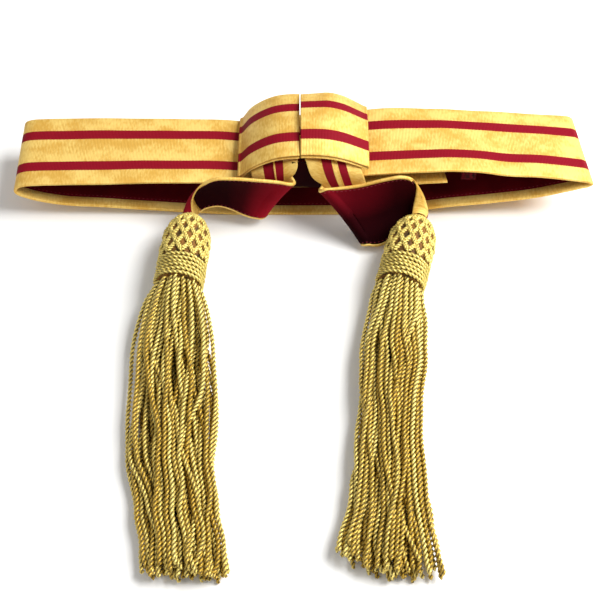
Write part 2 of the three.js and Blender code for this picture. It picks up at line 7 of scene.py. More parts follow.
import bpy
import numpy
from bpy.props import FloatProperty, FloatVectorProperty, IntProperty, PointerProperty
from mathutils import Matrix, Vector


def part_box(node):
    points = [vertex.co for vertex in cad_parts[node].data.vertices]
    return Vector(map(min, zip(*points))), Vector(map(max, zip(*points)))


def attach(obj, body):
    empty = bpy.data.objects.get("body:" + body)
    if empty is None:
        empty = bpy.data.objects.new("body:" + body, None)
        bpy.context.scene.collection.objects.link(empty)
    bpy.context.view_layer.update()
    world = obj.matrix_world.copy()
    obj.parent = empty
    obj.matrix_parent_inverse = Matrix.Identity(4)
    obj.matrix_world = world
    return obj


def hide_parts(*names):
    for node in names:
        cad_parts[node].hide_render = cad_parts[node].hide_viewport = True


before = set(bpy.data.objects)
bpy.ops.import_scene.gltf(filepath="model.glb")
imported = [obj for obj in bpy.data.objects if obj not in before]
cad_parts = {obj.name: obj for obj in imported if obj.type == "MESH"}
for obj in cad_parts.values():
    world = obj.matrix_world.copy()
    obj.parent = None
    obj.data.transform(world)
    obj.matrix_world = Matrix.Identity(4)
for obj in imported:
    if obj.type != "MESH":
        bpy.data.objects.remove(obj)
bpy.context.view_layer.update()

bl_info = {
    "name": "Waist sash with bullion tassels",
    "version": (1, 0, 0),
    "blender": (4, 5, 0),
    "location": "View3D > Sidebar > Sash",
    "description": "Builds the lace belt, bow, lined tails and bullion tassels of a ceremonial waist sash",
    "category": "Add Mesh",
}

# The main sizes, the same as the solids'
LACE_WIDTH = 0.064
LACE_THICKNESS = 0.0012
LINING_THICKNESS = 0.001
BELT_HEM = 0.008
TAIL_HEM = 0.0024
CLEARANCE = 0.0003
LINING_DEPTH = LACE_THICKNESS + CLEARANCE
CLOTH_DEPTH = LINING_DEPTH + LINING_THICKNESS
LOOP_HALF_LENGTH = 0.219
RISE = 0.073
BOW_HALF_LENGTH = 0.052
BOW_CENTRE = -0.002
BOW_LAYER_GAP = 0.0039
BOW_FOLD_RADIUS = BOW_LAYER_GAP / 2
BOW_FOLD_ANGLES = (-50, 0, 50)
LEFT_CROWN_TURN = 22
RIGHT_CROWN_TURN = 48
TAIL_SPAN = 0.090
TAIL_REACH = 0.030
KEEPER_WIDTH = 0.011
KEEPER_DROP = 0.017
KEEPER_THICKNESS = 0.001
KEEPER_CORNER = 0.004
KEEPER_PLACE = 0.548
KEEPER_ROW = 40
HEAD_RADIUS = 0.019
DOME_LENGTH = 0.043
COLLAR_LENGTH = 0.020
COLLAR_RIBS = 6
NET_HOLES_ROUND = 12
SKIRT_LENGTH = 0.223
SKIRT_WIDTH = 0.065
SKIRT_HEIGHT = 0.032
LEANING_SHARE = 0.25
LEFT_NECK_OFFSET = 0.0028
RIGHT_NECK_OFFSET = 0.0049
NECK_CLEARANCE = 0.0016
LEFT_HEAD_TURN = math.radians(-6)
RIGHT_HEAD_TURN = math.radians(-15)
TAIL_LINED_SHARE = 0.81

# The rows below put the belt's near edge on y = 0. The keeper starts where the near hem ends.
ORIGIN = numpy.array([0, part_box("belt_keeper")[0][1] - BELT_HEM - CLEARANCE, 0])

# The belt's outer face: x of the near and the far edge in half lengths, and their heights in rises
BELT_ROWS = [
    (0.496, 0.440, 0.560, 0.545), (0.356, 0.356, 0.527, 0.530), (0.174, 0.174, 0.503, 0.515),
    (-0.009, -0.009, 0.490, 0.495), (-0.146, -0.146, 0.500, 0.500), (-0.283, -0.283, 0.540, 0.545),
    (-0.411, -0.411, 0.545, 0.556), (-0.525, -0.525, 0.545, 0.562), (-0.699, -0.699, 0.528, 0.568),
    (-0.836, -0.836, 0.516, 0.562), (-0.922, -0.915, 0.508, 0.556), (-0.968, -0.959, 0.488, 0.545),
    (-0.991, -0.982, 0.450, 0.516), (-1.000, -0.991, 0.378, 0.466), (-0.991, -0.982, 0.330, 0.412),
    (-0.968, -0.959, 0.285, 0.350), (-0.930, -0.918, 0.232, 0.280), (-0.831, -0.826, 0.158, 0.190),
    (-0.676, -0.676, 0.118, 0.118), (-0.534, -0.534, 0.075, 0.062), (-0.420, -0.420, 0.041, 0.021),
    (-0.292, -0.292, 0.010, 0.004), (-0.200, -0.200, 0, 0), (-0.080, -0.080, 0, 0), (0.060, 0.060, 0, 0),
    (0.219, 0.219, 0.011, 0.006), (0.333, 0.333, 0.041, 0.027), (0.447, 0.447, 0.090, 0.068),
    (0.516, 0.516, 0.130, 0.110), (0.685, 0.685, 0.205, 0.205), (0.822, 0.817, 0.288, 0.315),
    (0.922, 0.895, 0.384, 0.420), (0.966, 0.925, 0.435, 0.480), (0.985, 0.944, 0.455, 0.502),
    (1.000, 0.958, 0.502, 0.548), (0.985, 0.944, 0.546, 0.592), (0.966, 0.925, 0.560, 0.606),
    (0.886, 0.870, 0.608, 0.620), (0.808, 0.808, 0.642, 0.637), (0.703, 0.703, 0.662, 0.664),
    (0.603, 0.603, 0.716, 0.685), (0.498, 0.498, 0.736, 0.712), (0.429, 0.429, 0.720, 0.719),
    (0.333, 0.333, 0.695, 0.730), (0.247, 0.247, 0.675, 0.712), (0.128, 0.128, 0.640, 0.655),
    (0.014, 0.014, 0.608, 0.622), (-0.073, -0.073, 0.600, 0.612),
]

# One bow loop from the middle out: x in bow half lengths, and the heights of its two edges in rises
RIGHT_BOW_ROWS = [
    (0.008, 0.944, 0.930), (0.22, 0.943, 0.944), (0.42, 0.924, 0.955), (0.63, 0.880, 0.905),
    (0.84, 0.810, 0.805), (0.95, 0.770, 0.750),
]
LEFT_BOW_ROWS = [
    (0.008, 0.937, 0.912), (0.18, 0.925, 0.910), (0.36, 0.895, 0.884), (0.55, 0.826, 0.812),
    (0.73, 0.728, 0.700), (0.86, 0.625, 0.552),
]

# Each tail's inner and outer edge, the degrees that the cloth turns through between them, and its bulge
RIGHT_TAIL_ROWS = [
    (0.045, 1.05, 0.700, 0.475, 1.05, 0.718, 4, 0, 0, 1),
    (0.045, 0.50, 0.790, 0.485, 0.50, 0.745, 8, 0, -0.3, 0.9),
    (0.045, 0.06, 0.875, 0.500, 0.06, 0.765, 10, 0, -0.5, 0.9),
    (0.062, -0.08, 0.807, 0.520, -0.06, 0.712, 14, 0, -0.8, 0.5),
    (0.092, -0.15, 0.705, 0.555, -0.14, 0.561, 14, 0, -0.9, 0.4),
    (0.130, -0.15, 0.640, 0.590, -0.30, 0.381, 12, 0, -0.9, 0.4),
    (0.162, -0.15, 0.610, 0.595, -0.64, 0.170, 10, 0.4, -0.6, 0.5),
    (0.180, -0.165, 0.585, 0.555, -0.96, 0.082, 12, 0.753, 0.341, 0.559),
    (0.165, -0.255, 0.575, 0.540, -1.06, 0.066, 13, 0.753, 0.341, 0.559),
    (0.185, -0.315, 0.610, 0.560, -1.12, 0.085, 12, 0.753, 0.341, 0.559),
    (0.273, -0.285, 0.612, 0.610, -1.14, 0.070, 20, 0.2, 0.8, -0.5),
    (0.480, -0.25, 0.645, 0.680, -1.10, 0.060, 34, 0, 0.85, -0.5),
    (0.700, -0.21, 0.728, 0.745, -0.95, 0.062, 48, 0.1, 0.8, -0.4),
    (0.835, -0.21, 0.765, 0.790, -0.77, 0.075, 66, 0.4, 0.7, -0.3),
    (0.920, -0.24, 0.735, 0.822, -0.60, 0.098, 88, 0.75, 0.5, -0.2),
    (0.956, -0.28, 0.645, 0.850, -0.53, 0.122, 118, 0.95, 0.2, -0.1),
    (0.964, -0.33, 0.540, 0.878, -0.50, 0.144, 158, 1, 0.05, 0),
    (0.955, -0.40, 0.445, 0.900, -0.52, 0.162, 205, 1, 0, 0),
    (0.942, -0.49, 0.370, 0.918, -0.56, 0.178, 245, 1, 0, 0),
    (0.932, -0.60, 0.320, 0.928, -0.63, 0.178, 266, 1, 0, 0),
]
LEFT_TAIL_ROWS = [
    (-0.035, 1.05, 0.690, -0.420, 1.05, 0.600, 6, 0, 0, 1),
    (-0.030, 0.50, 0.775, -0.420, 0.50, 0.630, 10, 0, -0.3, 0.9),
    (-0.018, 0.06, 0.865, -0.410, 0.06, 0.680, 14, 0, -0.5, 0.9),
    (-0.022, -0.08, 0.795, -0.390, -0.08, 0.590, 16, 0, -0.8, 0.5),
    (-0.040, -0.11, 0.730, -0.355, -0.12, 0.430, 10, 0, -1, 0.2),
    (-0.060, -0.11, 0.702, -0.340, -0.12, 0.260, 8, -0.5, -0.8, 0),
    (-0.068, -0.12, 0.682, -0.335, -0.14, 0.155, 14, -0.852, 0, 0.524),
    (-0.050, -0.20, 0.660, -0.310, -0.23, 0.122, 16, -0.852, 0, 0.524),
    (-0.075, -0.285, 0.688, -0.340, -0.33, 0.137, 14, -0.852, 0, 0.524),
    (-0.180, -0.265, 0.710, -0.395, -0.32, 0.132, 22, -0.2, 0.9, 0),
    (-0.375, -0.245, 0.733, -0.480, -0.28, 0.165, 26, 0, 1, 0),
    (-0.560, -0.24, 0.750, -0.590, -0.24, 0.240, 34, 0, 1, 0),
    (-0.690, -0.25, 0.750, -0.690, -0.26, 0.290, 50, -0.3, 0.9, 0.1),
    (-0.780, -0.28, 0.700, -0.780, -0.30, 0.280, 76, -0.7, 0.6, 0.1),
    (-0.850, -0.33, 0.590, -0.830, -0.36, 0.258, 115, -0.95, 0.3, 0.1),
    (-0.890, -0.40, 0.460, -0.858, -0.42, 0.230, 170, -1, 0.05, 0.05),
    (-0.893, -0.48, 0.370, -0.872, -0.49, 0.205, 225, -1, 0, 0),
    (-0.885, -0.57, 0.315, -0.874, -0.57, 0.180, 268, -1, 0, 0),
]

# The skirts as they are spread: place along, the middle's offset in widths, width and height as shares
LEFT_SKIRT_ROWS = [
    (0, 0, 0.56, 1.12), (0.06, -0.014, 0.79, 1.02), (0.25, -0.029, 1.02, 0.76), (0.43, -0.002, 1.04, 0.66),
    (0.60, 0.008, 0.95, 0.62), (0.78, 0.105, 0.88, 0.58), (0.90, 0.187, 0.88, 0.56), (1, 0.229, 0.90, 0.55),
]
RIGHT_SKIRT_ROWS = [
    (0, 0, 0.56, 1.12), (0.06, -0.032, 0.67, 1.02), (0.25, -0.096, 0.75, 0.82), (0.43, -0.144, 0.68, 0.78),
    (0.60, -0.182, 0.71, 0.72), (0.78, -0.205, 0.79, 0.66), (0.90, -0.235, 1.05, 0.60),
    (1, -0.245, 1.12, 0.56),
]

# Each tail's middle is tucked under itself: shares across the tail against shares across its weave, as it
# leaves the bow and as it rolls into the tassel. The one turns into the other between two shares along it.
LEFT_TAIL_WEAVES = (
    ((0, 0.30, 0.478, 0.482, 0.72, 1), (0, 0.20, 0.325, 0.675, 0.80, 1)),
    ((0, 0.05, 0.55, 0.60, 1), (0, 0.205, 0.33, 0.667, 1)),
)
RIGHT_TAIL_WEAVES = (((0, 0.47, 0.58, 1), (0, 0.333, 0.690, 1)), ((0, 0.42, 0.52, 1), (0, 0.19, 0.34, 1)))
WEAVE_CHANGE = (0.35, 0.60)

# The tuck's lip as shares across the tail, its height, and the shares along it over which it flattens out
PLEAT_RISE = ((0.3, 0.5, 0.52), (0, 1, 0))
PLEAT_HEIGHT = 0.0007
PLEAT_END = (0.15, 0.25)

# Painted light and shade on the linings: the share of the lit colour against the shade colour, along and
# across each strip
LEFT_TAIL_PAINTED_LIGHT = (((0.45, 0.53, 0.60, 0.66), (0.95, 0.70, 0.10, 0.02)), ((0, 1), (1, 1)))
RIGHT_TAIL_PAINTED_LIGHT = (((0.45, 0.55, 0.66), (0.60, 0.50, 0.12)), ((0, 0.25, 0.55, 1), (1, 0.7, 0.08, 0)))
BELT_PAINTED_LIGHT = (((0, 1), (0.35, 0.35)), ((0, 1), (1, 1)))
# The strip behind the bow takes almost none of the lit colour: it is painted shadow
SHADOW_STRIP_PAINTED_LIGHT = (((0, 1), (0.02, 0.02)), ((0, 1), (1, 1)))

# How much shorter the right skirt's cords get towards its left side
LEFT_END_SLANT = 0
RIGHT_END_SLANT = 0.07

# Dark strip of lining cloth between the tails' starts, a sheet of painted shadow under the bow: its width,
# its middle, and how far out and how high it lies
SHADOW_STRIP_WIDTH = 0.022
SHADOW_STRIP_PLACE = 0.003
SHADOW_STRIP_DROP = ((0.0004, 0.0620), (-0.0016, 0.0560), (-0.0022, 0.0470), (-0.0018, 0.0390), (0.0006, 0.0330))

# The head's outline in shares of the dome's length and of the head's radius
DOME_ROWS = [(0, 0.42), (0.14, 0.73), (0.34, 0.94), (0.60, 1), (1, 1)]

# The net's plain rings round its top, then pairs of waved rings: their first place and wave in row heights,
# and how far apart, deep, bulged and swayed the yarn lies in its own half widths
NET_TOP_RINGS = (0.0006, 0.0030, 0.0052)
NET_ROWS = 5
NET_ROW_HEIGHT = DOME_LENGTH / 5.6
NET_FIRST_ROW = 0.95
NET_WAVE = 0.40
NET_PAIR = 0.9
NET_DEPTH = 1.35
NET_BULGE = 0.35
NET_SWAY = 0.4
WRAP_WAVER = 0.0002

# The skirts' cords: how far they swing and drift from straight, by how much they are cut short, and how
# strongly each pass of settling parts them, pulls them back and smooths them
SKIRT_STATIONS = 46
CORD_SWING, CORD_SWING_POWER = 0.21, 1.4
CORD_DRIFT, DRIFT_SPAN = 0.070, 13
CORD_TRIM, CORD_TRIM_POWER = 0.045, 1.6
CORD_PACKING = 0.96
SETTLE_PASSES = 60
SETTLE_PUSH, SETTLE_RETURN, SETTLE_SMOOTHING = 0.30, 0.05, 0.30
CORD_END_PLACES = (0.5, 0.8, 0.93, 1.0)

# The cords start inside the collar, drawn in by a share
MOUTH_DEPTH = 0.003
MOUTH_SQUEEZE = 0.86

# The cloth's slight unevenness: each wave's strength, its pitch along and across, and where it starts, and
# the strengths' sum
WAVES = ((1, 0.0071, 0.019, 0), (0.8, 0.0113, -0.011, 2), (0.7, 0.0187, 0.031, 4))
WAVE_SUM = 2.5

# Columns across the sections of lace and lining, the steps of the folds and round edges, and the stitches
BELT_COLUMNS = (16, 12)
TAIL_COLUMNS = (48, 48)
BOW_COLUMNS = 24
SHADOW_STRIP_COLUMNS = 12
FOLD_STEPS = 6
EDGE_STEPS = 4
STITCH_INSET = 0.0018
STITCH_WIDTH = 0.0006
STITCH_SHARE = 0.6

# Half the width over which the stripe's colour ends
STRIPE_BLUR = 0.00012

# The photograph's view and light: lens in mm, height in degrees, how far in front of the belt it aims, and
# each light's place from there, size and power
LENS = 81
VIEW_HEIGHT = math.radians(55)
AIM = 0.080
FLOOR_HALF = 6
WORLD_STRENGTH = 0.35
LIGHTS = (("key light", (1.0, 0.1, 1.2), 1.0, 44), ("fill light", (-1.0, -0.7, 1.2), 1.2, 5))


def linear(colour):
    """An sRGB hex colour as linear red, green and blue"""
    parts = [int(colour[i:i + 2], 16) / 255 for i in (1, 3, 5)]
    return [part / 12.92 if part <= 0.04045 else ((part + 0.055) / 1.055) ** 2.4 for part in parts]


def length_property(name, description, default):
    return FloatProperty(
        name=name, description=description, default=default, min=0, unit="LENGTH", precision=5
    )


def colour_property(name, description, colour):
    return FloatVectorProperty(
        name=name, description=description, default=linear(colour), size=3, min=0, max=1, subtype="COLOR"
    )


class SashLaceSettings(bpy.types.PropertyGroup):
    edge_band: length_property("Edge Band", "Width of the gold between an edge and its stripe", 0.0128)
    stripe: length_property("Stripe", "Width of each crimson stripe", 0.0085)
    rib: length_property("Rib", "Distance between the weave's ribs across the lace", 0.0011)
    tooth: length_property("Tooth", "How far the stripe's edge steps with each rib", 0.0004)
    wrinkle: length_property("Wrinkle", "Height of the cloth's slight unevenness", 0.00022)
    stitch: length_property("Stitch", "Distance between the stitches that hold the linings", 0.0032)


class SashTasselSettings(bpy.types.PropertyGroup):
    cords: IntProperty(name="Cords", description="Number of cords in a tassel", default=66, min=12, max=80)
    cord_width: length_property("Cord Width", "Width across a two-ply bullion cord", 0.0037)
    cord_lay: length_property("Cord Lay", "Length of one full turn of a cord's plies", 0.0072)
    yarn_width: length_property("Yarn Width", "Width of the net's yarn", 0.0027)
    yarn_lay: length_property("Yarn Lay", "Length of one full turn of the yarn's plies", 0.0046)
    wrap_width: length_property("Wrap Width", "Width of the cord wound round the collar", 0.0034)
    wrap_lay: length_property("Wrap Lay", "Length of one full turn of the collar cord's plies", 0.0070)
    seed: IntProperty(name="Seed", description="Seed for the cords' places and lengths", default=7, min=0)


class SashColourSettings(bpy.types.PropertyGroup):
    lace_gold: colour_property("Lace Gold", "Gold thread of the lace", "#F0CE74")
    # Lace Shade is the darker gold of the thread's random streaks and patches, and of the painted shade
    # between the ribs
    lace_shade: colour_property("Lace Shade", "Gold thread where the lace is worn or in shade", "#D6A648")
    crimson: colour_property("Crimson", "Silk stripes of the lace", "#7E0A1C")
    # Lining is the silk in painted shade and Lining Lit the same silk with painted light; each lining's
    # stored painted light mixes the two
    lining: colour_property("Lining", "Silk lining in shade", "#120002")
    lining_lit: colour_property("Lining Lit", "Silk lining where its nap catches the light", "#8C1020")
    tape: colour_property("Tape", "Keeper tape", "#5A0C18")
    bullion: colour_property("Bullion", "Gold bullion cord", "#BE9A34")
    bullion_pale: colour_property("Bullion Pale", "Palest of the bullion cords", "#EFD878")
    # The colour of the painted shade in the groove between a cord's plies
    bullion_groove_shade: colour_property("Bullion Groove", "Between the plies of a cord", "#3E2C08")
    # The mould's thread is coloured dark brown as painted shade inside the net
    mould: colour_property("Mould", "Wound thread on the tassel's mould", "#8A5C1C")


def node(tree, kind, inputs=None, **settings):
    """A node with its settings, its inputs linked where they are sockets and set where they are values"""
    made = tree.nodes.new(kind)
    for name, value in settings.items():
        setattr(made, name, value)
    for key, value in (inputs or {}).items():
        if isinstance(value, bpy.types.NodeSocket):
            tree.links.new(value, made.inputs[key])
        else:
            made.inputs[key].default_value = value
    return made


def first_out(tree, kind, inputs=None, **settings):
    return node(tree, kind, inputs, **settings).outputs[0]


def math_out(tree, operation, *values):
    return first_out(tree, "ShaderNodeMath", dict(enumerate(values)), operation=operation)


def times(tree, *values):
    return math_out(tree, "MULTIPLY", *values)


def times_plus(tree, *values):
    """The first value times the second, plus the third"""
    return math_out(tree, "MULTIPLY_ADD", *values)


def paint(name):
    """One of the panel's colours as a socket's value"""
    return (*getattr(bpy.context.scene.sash_colours, name), 1)


def new_material(name):
    material = bpy.data.materials.new(name)
    material.use_nodes = True
    material.node_tree.nodes.clear()
    return material, material.node_tree


def finished(material, **values):
    """The material with its shader, whose sockets are named with underscores for spaces"""
    tree = material.node_tree
    sockets = {name.replace("_", " "): value for name, value in values.items()}
    node(tree, "ShaderNodeOutputMaterial", {"Surface": first_out(tree, "ShaderNodeBsdfPrincipled", sockets)})
    return material


def mixed(tree, share, first, second):
    return node(tree, "ShaderNodeMix", {0: share, 6: first, 7: second}, data_type="RGBA").outputs[2]


def ridges(tree, place, pitch):
    """A wave from 0 to 1 that repeats at a pitch in metres"""
    return times_plus(tree, math_out(tree, "SINE", times(tree, place, 2 * math.pi / pitch)), 0.5, 0.5)


def between(tree, value, low, high):
    """0 at the low end and 1 at the high end, smoothly"""
    return first_out(
        tree, "ShaderNodeMapRange", {0: value, 1: low, 2: high}, interpolation_type="SMOOTHSTEP"
    )


def cloth_places(tree):
    """How far along and across the cloth a point lies, in metres, from the piece's own UV map"""
    place = first_out(tree, "ShaderNodeUVMap", uv_map="UVMap")
    return node(tree, "ShaderNodeSeparateXYZ", {0: place}).outputs[:2]


def noise(tree, place, scale, detail=2):
    return first_out(tree, "ShaderNodeTexNoise", {"Vector": place, "Scale": scale, "Detail": detail})


def stretched_noise(tree, along, across, pitch_along, pitch_across, detail=2):
    shares = (math_out(tree, "DIVIDE", *pair) for pair in ((along, pitch_along), (across, pitch_across)))
    return noise(tree, first_out(tree, "ShaderNodeCombineXYZ", dict(enumerate(shares))), 1, detail)


def model_place(tree):
    return node(tree, "ShaderNodeTexCoord").outputs["Object"]


def stored(tree, name):
    """A point attribute that the mesh carries"""
    return node(tree, "ShaderNodeAttribute", attribute_name=name).outputs["Fac"]


def bumped(tree, height, strength, distance):
    return first_out(tree, "ShaderNodeBump", {"Height": height, "Strength": strength, "Distance": distance})


def lace_material():
    """Gold lace woven with two silk stripes: ribs across the width, glossy thread, stepped stripe edges, and
    painted shade in the troughs between the ribs
    """
    lace = bpy.context.scene.sash_lace
    material, tree = new_material("woven gold lace")
    along, across = cloth_places(tree)
    rib = ridges(tree, along, lace.rib)
    warp = ridges(tree, across, 0.9 * lace.rib)
    middle = math_out(tree, "ABSOLUTE", math_out(tree, "SUBTRACT", across, LACE_WIDTH / 2))
    stripe_middle = LACE_WIDTH / 2 - lace.edge_band - lace.stripe / 2
    off = math_out(tree, "ABSOLUTE", math_out(tree, "SUBTRACT", middle, stripe_middle))
    stepped = times_plus(tree, math_out(tree, "SUBTRACT", rib, 0.5), lace.tooth, off)
    gold = between(tree, stepped, lace.stripe / 2 - STRIPE_BLUR, lace.stripe / 2 + STRIPE_BLUR)
    streak = stretched_noise(tree, along, across, 1.3 * lace.rib, 0.004)
    patch = stretched_noise(tree, along, across, 0.022, 0.016)
    shade = between(tree, times_plus(tree, streak, 0.6, patch), 0.60, 1.0)
    thread = mixed(tree, shade, paint("lace_shade"), paint("lace_gold"))
    # Painted shade: the thread darkens towards the troughs between the ribs
    rib_shade = times(tree, math_out(tree, "SUBTRACT", 1, rib), 0.22)
    rib_shaded = mixed(tree, rib_shade, thread, paint("lace_shade"))
    silk_streak = between(tree, stretched_noise(tree, along, across, 0.006, 0.0012), 0.3, 0.7)
    silk = mixed(tree, times(tree, silk_streak, 0.3), paint("crimson"), paint("lining_lit"))
    fine = times(tree, times(tree, warp, streak), 0.6)
    return finished(
        material,
        Base_Color=mixed(tree, gold, silk, rib_shaded),
        Metallic=times(tree, gold, 0.3),
        Roughness=times_plus(tree, gold, -0.1, 0.6),
        Normal=bumped(tree, math_out(tree, "ADD", times(tree, rib, 0.7), fine), 0.55, 0.0003),
        Specular_IOR_Level=times_plus(tree, gold, 0.17, 0.08),
    )


def lining_material():
    """Crimson silk lining in a fine twill, with painted light: its shade colour is mixed towards its lit
    colour by the stored painted light, varied by the crease noise
    """
    material, tree = new_material("crimson silk twill")
    along, across = cloth_places(tree)
    twill = ridges(tree, math_out(tree, "ADD", along, times(tree, across, 0.8)), 0.0012)
    # The crease noise gives the lining both soft bumps and blotches of painted shade in its colour
    crease_and_painted_shade = stretched_noise(tree, along, across, 0.030, 0.045, 1)
    lit = times(tree, stored(tree, "painted_light"), math_out(tree, "ADD", crease_and_painted_shade, 0.5))
    return finished(
        material,
        Base_Color=mixed(tree, lit, paint("lining"), paint("lining_lit")),
        Roughness=0.8,
        Normal=bumped(tree, math_out(tree, "ADD", times(tree, twill, 0.15), crease_and_painted_shade), 0.35, 0.0006),
        Specular_IOR_Level=0.03,
        Sheen_Weight=0.02,
        Sheen_Roughness=0.4,
        Sheen_Tint=paint("crimson"),
    )


def tape_material():
    """Crimson grosgrain tape: matt silk with ribs across its width"""
    material, tree = new_material("crimson grosgrain tape")
    along, across = cloth_places(tree)
    tint = stretched_noise(tree, along, across, 0.004, 0.002)
    return finished(
        material,
        Base_Color=mixed(tree, between(tree, tint, 0.35, 0.75), paint("tape"), paint("lining")),
        Roughness=0.7,
        Normal=bumped(tree, ridges(tree, along, 0.0011), 0.5, 0.0003),
        Specular_IOR_Level=0.05,
    )


def bullion_material(name, pale_from, depth):
    """Two-ply bullion cord: glossy gold wire round a silk core, made browner in the groove between the plies
    by painted shade, and a little paler where it starts"""
    material, tree = new_material(name)
    along = stored(tree, "along")
    speck = noise(tree, model_place(tree), 420)
    start = times(tree, between(tree, along, 0.085, 0), 0.45)
    paleness = math_out(tree, "ADD", times_plus(tree, speck, 0.5, stored(tree, "tone")), start)
    share = between(tree, paleness, pale_from, pale_from + 0.9)
    gold = mixed(tree, share, paint("bullion"), paint("bullion_pale"))
    # Painted shade in the groove between the plies; depth sets its strength
    groove_shade = times(tree, between(tree, stored(tree, "groove"), 0.35, 1.0), depth)
    return finished(
        material,
        Base_Color=mixed(tree, groove_shade, gold, paint("bullion_groove_shade")),
        Metallic=times_plus(tree, groove_shade, -0.3, 0.45),
        Roughness=times_plus(tree, groove_shade, 0.25, 0.38),
        Normal=bumped(tree, math_out(tree, "ADD", ridges(tree, along, 0.0011), speck), 0.35, 0.00025),
    )


def mould_material():
    """The tassel's wooden mould wound with gold thread, seen through the net's holes, and coloured dark brown
    as painted shade inside the net
    """
    material, tree = new_material("thread-wound mould")
    place = model_place(tree)
    winding = ridges(tree, node(tree, "ShaderNodeSeparateXYZ", {0: place}).outputs[1], 0.0012)
    tint = between(tree, noise(tree, place, 180), 0.35, 0.7)
    return finished(
        material,
        Base_Color=mixed(tree, tint, paint("mould"), paint("bullion_groove_shade")),
        Roughness=0.7,
        Metallic=0.1,
        Normal=bumped(tree, winding, 0.6, 0.0004),
    )


def thread_material():
    """Sewing thread a little brighter than the lining that it holds"""
    material, tree = new_material("crimson sewing thread")
    tint = noise(tree, model_place(tree), 900)
    return finished(material, Base_Color=mixed(tree, tint, paint("lining_lit"), paint("tape")), Roughness=0.5)


def floor_material():
    """A plain pale paper floor"""
    material, tree = new_material("pale paper")
    pale, paler = ((*linear(colour), 1) for colour in ("#F6F5F3", "#FAFAF9"))
    tint = noise(tree, model_place(tree), 3)
    return finished(
        material, Base_Color=mixed(tree, tint, pale, paler), Roughness=0.9, Specular_IOR_Level=0.2
    )


MATERIAL_MAKERS = {
    "lace": lace_material,
    "lining": lining_material,
    "tape": tape_material,
    "cord": lambda: bullion_material("two-ply bullion cord", 0.40, 1),
    "yarn": lambda: bullion_material("crocheted bullion yarn", -0.15, 0.7),
    "mould": mould_material,
    "thread": thread_material,
    "floor": floor_material,
}
made_materials = {}


def finish_of(key):
    if key not in made_materials:
        made_materials[key] = MATERIAL_MAKERS[key]()
    return made_materials[key]


def curve_through(points, places):
    """Points at shares of a centripetal Catmull-Rom curve whose points come at equal steps of the share"""
    points = numpy.asarray(points, float)
    padded = numpy.array([2 * points[0] - points[1], *points, 2 * points[-1] - points[-2]])
    spot = numpy.clip(places, 0, 1) * (len(points) - 1)
    span = numpy.minimum(spot.astype(int), len(points) - 2)
    share = (spot - span)[:, None]
    p0, p1, p2, p3 = (padded[span + k] for k in range(4))
    before, here, after = (
        numpy.sqrt(numpy.linalg.norm(b - a, axis=1))[:, None] for a, b in ((p0, p1), (p1, p2), (p2, p3))
    )
    here = numpy.where(here < 1e-4, 1, here)
    before = numpy.where(before < 1e-4, here, before)
    after = numpy.where(after < 1e-4, here, after)
    leave = ((p1 - p0) / before - (p2 - p0) / (before + here) + (p2 - p1) / here) * here
    reach = ((p2 - p1) / here - (p3 - p1) / (here + after) + (p3 - p2) / after) * here
    square = 3 * (p2 - p1) - 2 * leave - reach
    cube = 2 * (p1 - p2) + leave + reach
    return p1 + share * (leave + share * (square + share * cube))


def unit(vectors):
    return vectors / numpy.linalg.norm(vectors, axis=-1, keepdims=True)


def ribbon_face(inner, outer, turn, bulge):
    """A ribbon's face as a function of the places along it and the shares across it"""
    def face(along, across):
        start = curve_through(inner, along)[:, None]
        end = curve_through(outer, along)[:, None]
        angle = numpy.radians(curve_through(numpy.array(turn, float)[:, None], along))[:, None]
        flat = angle < 0.01
        angle = numpy.where(flat, 1, angle)
        chord = end - start
        width = numpy.linalg.norm(chord, axis=-1, keepdims=True)
        way = chord / width
        away = curve_through(bulge, along)[:, None]
        away = unit(away - (away * way).sum(axis=-1, keepdims=True) * way)
        share = numpy.asarray(across, float)[None, :, None]
        radius = width / (2 * numpy.sin(angle / 2))
        place = (share - 0.5) * angle
        bent = (start + end) / 2 + way * radius * numpy.sin(place)
        bent = bent + away * radius * (numpy.cos(place) - numpy.cos(angle / 2))
        return numpy.where(flat, start + chord * share, bent)
    return face


def face_normal(face, along, across, side):
    step = 1e-3
    along_way = face(numpy.minimum(along + step, 1), across) - face(numpy.maximum(along - step, 0), across)
    across_way = face(along, numpy.minimum(across + step, 1)) - face(along, numpy.maximum(across - step, 0))
    return unit(numpy.cross(across_way, along_way)) * side


def wrinkles(along, across, height):
    """The cloth's slight unevenness along its normal, from a few long waves that never line up"""
    along, across = along[:, None], across[None]
    waves = sum(
        strength * numpy.sin(along / along_pitch + across / across_pitch + start)
        for strength, along_pitch, across_pitch, start in WAVES
    )
    return height * waves / WAVE_SUM


def spread(low, high, count):
    return numpy.linspace(low, high, count + 1)


def arc(centre_across, centre_depth, radius, first, last, count):
    """Corners of a section round an arc; 0 degrees points to the face and 90 to the far edge"""
    return [
        (centre_across + radius * math.sin(angle), centre_depth - radius * math.cos(angle))
        for angle in map(math.radians, spread(first, last, count))
    ]


def with_places(corners, first_wrapped):
    """Adds to each corner how far across the weave it lies, which carries on round both edges"""
    rows = [(*corner, corner[0]) for corner in corners[:first_wrapped]]
    half = (len(corners) - first_wrapped) // 2
    wrapped = []
    for last, chosen, way in (
        (rows[-1], corners[first_wrapped:first_wrapped + half], 1),
        (rows[0], corners[first_wrapped + half:][::-1], -1),
    ):
        run = []
        for corner in chosen:
            last = (*corner, last[2] + way * math.dist(corner, last[:2]))
            run.append(last)
        wrapped.append(run)
    return rows + wrapped[0] + wrapped[1][::-1]


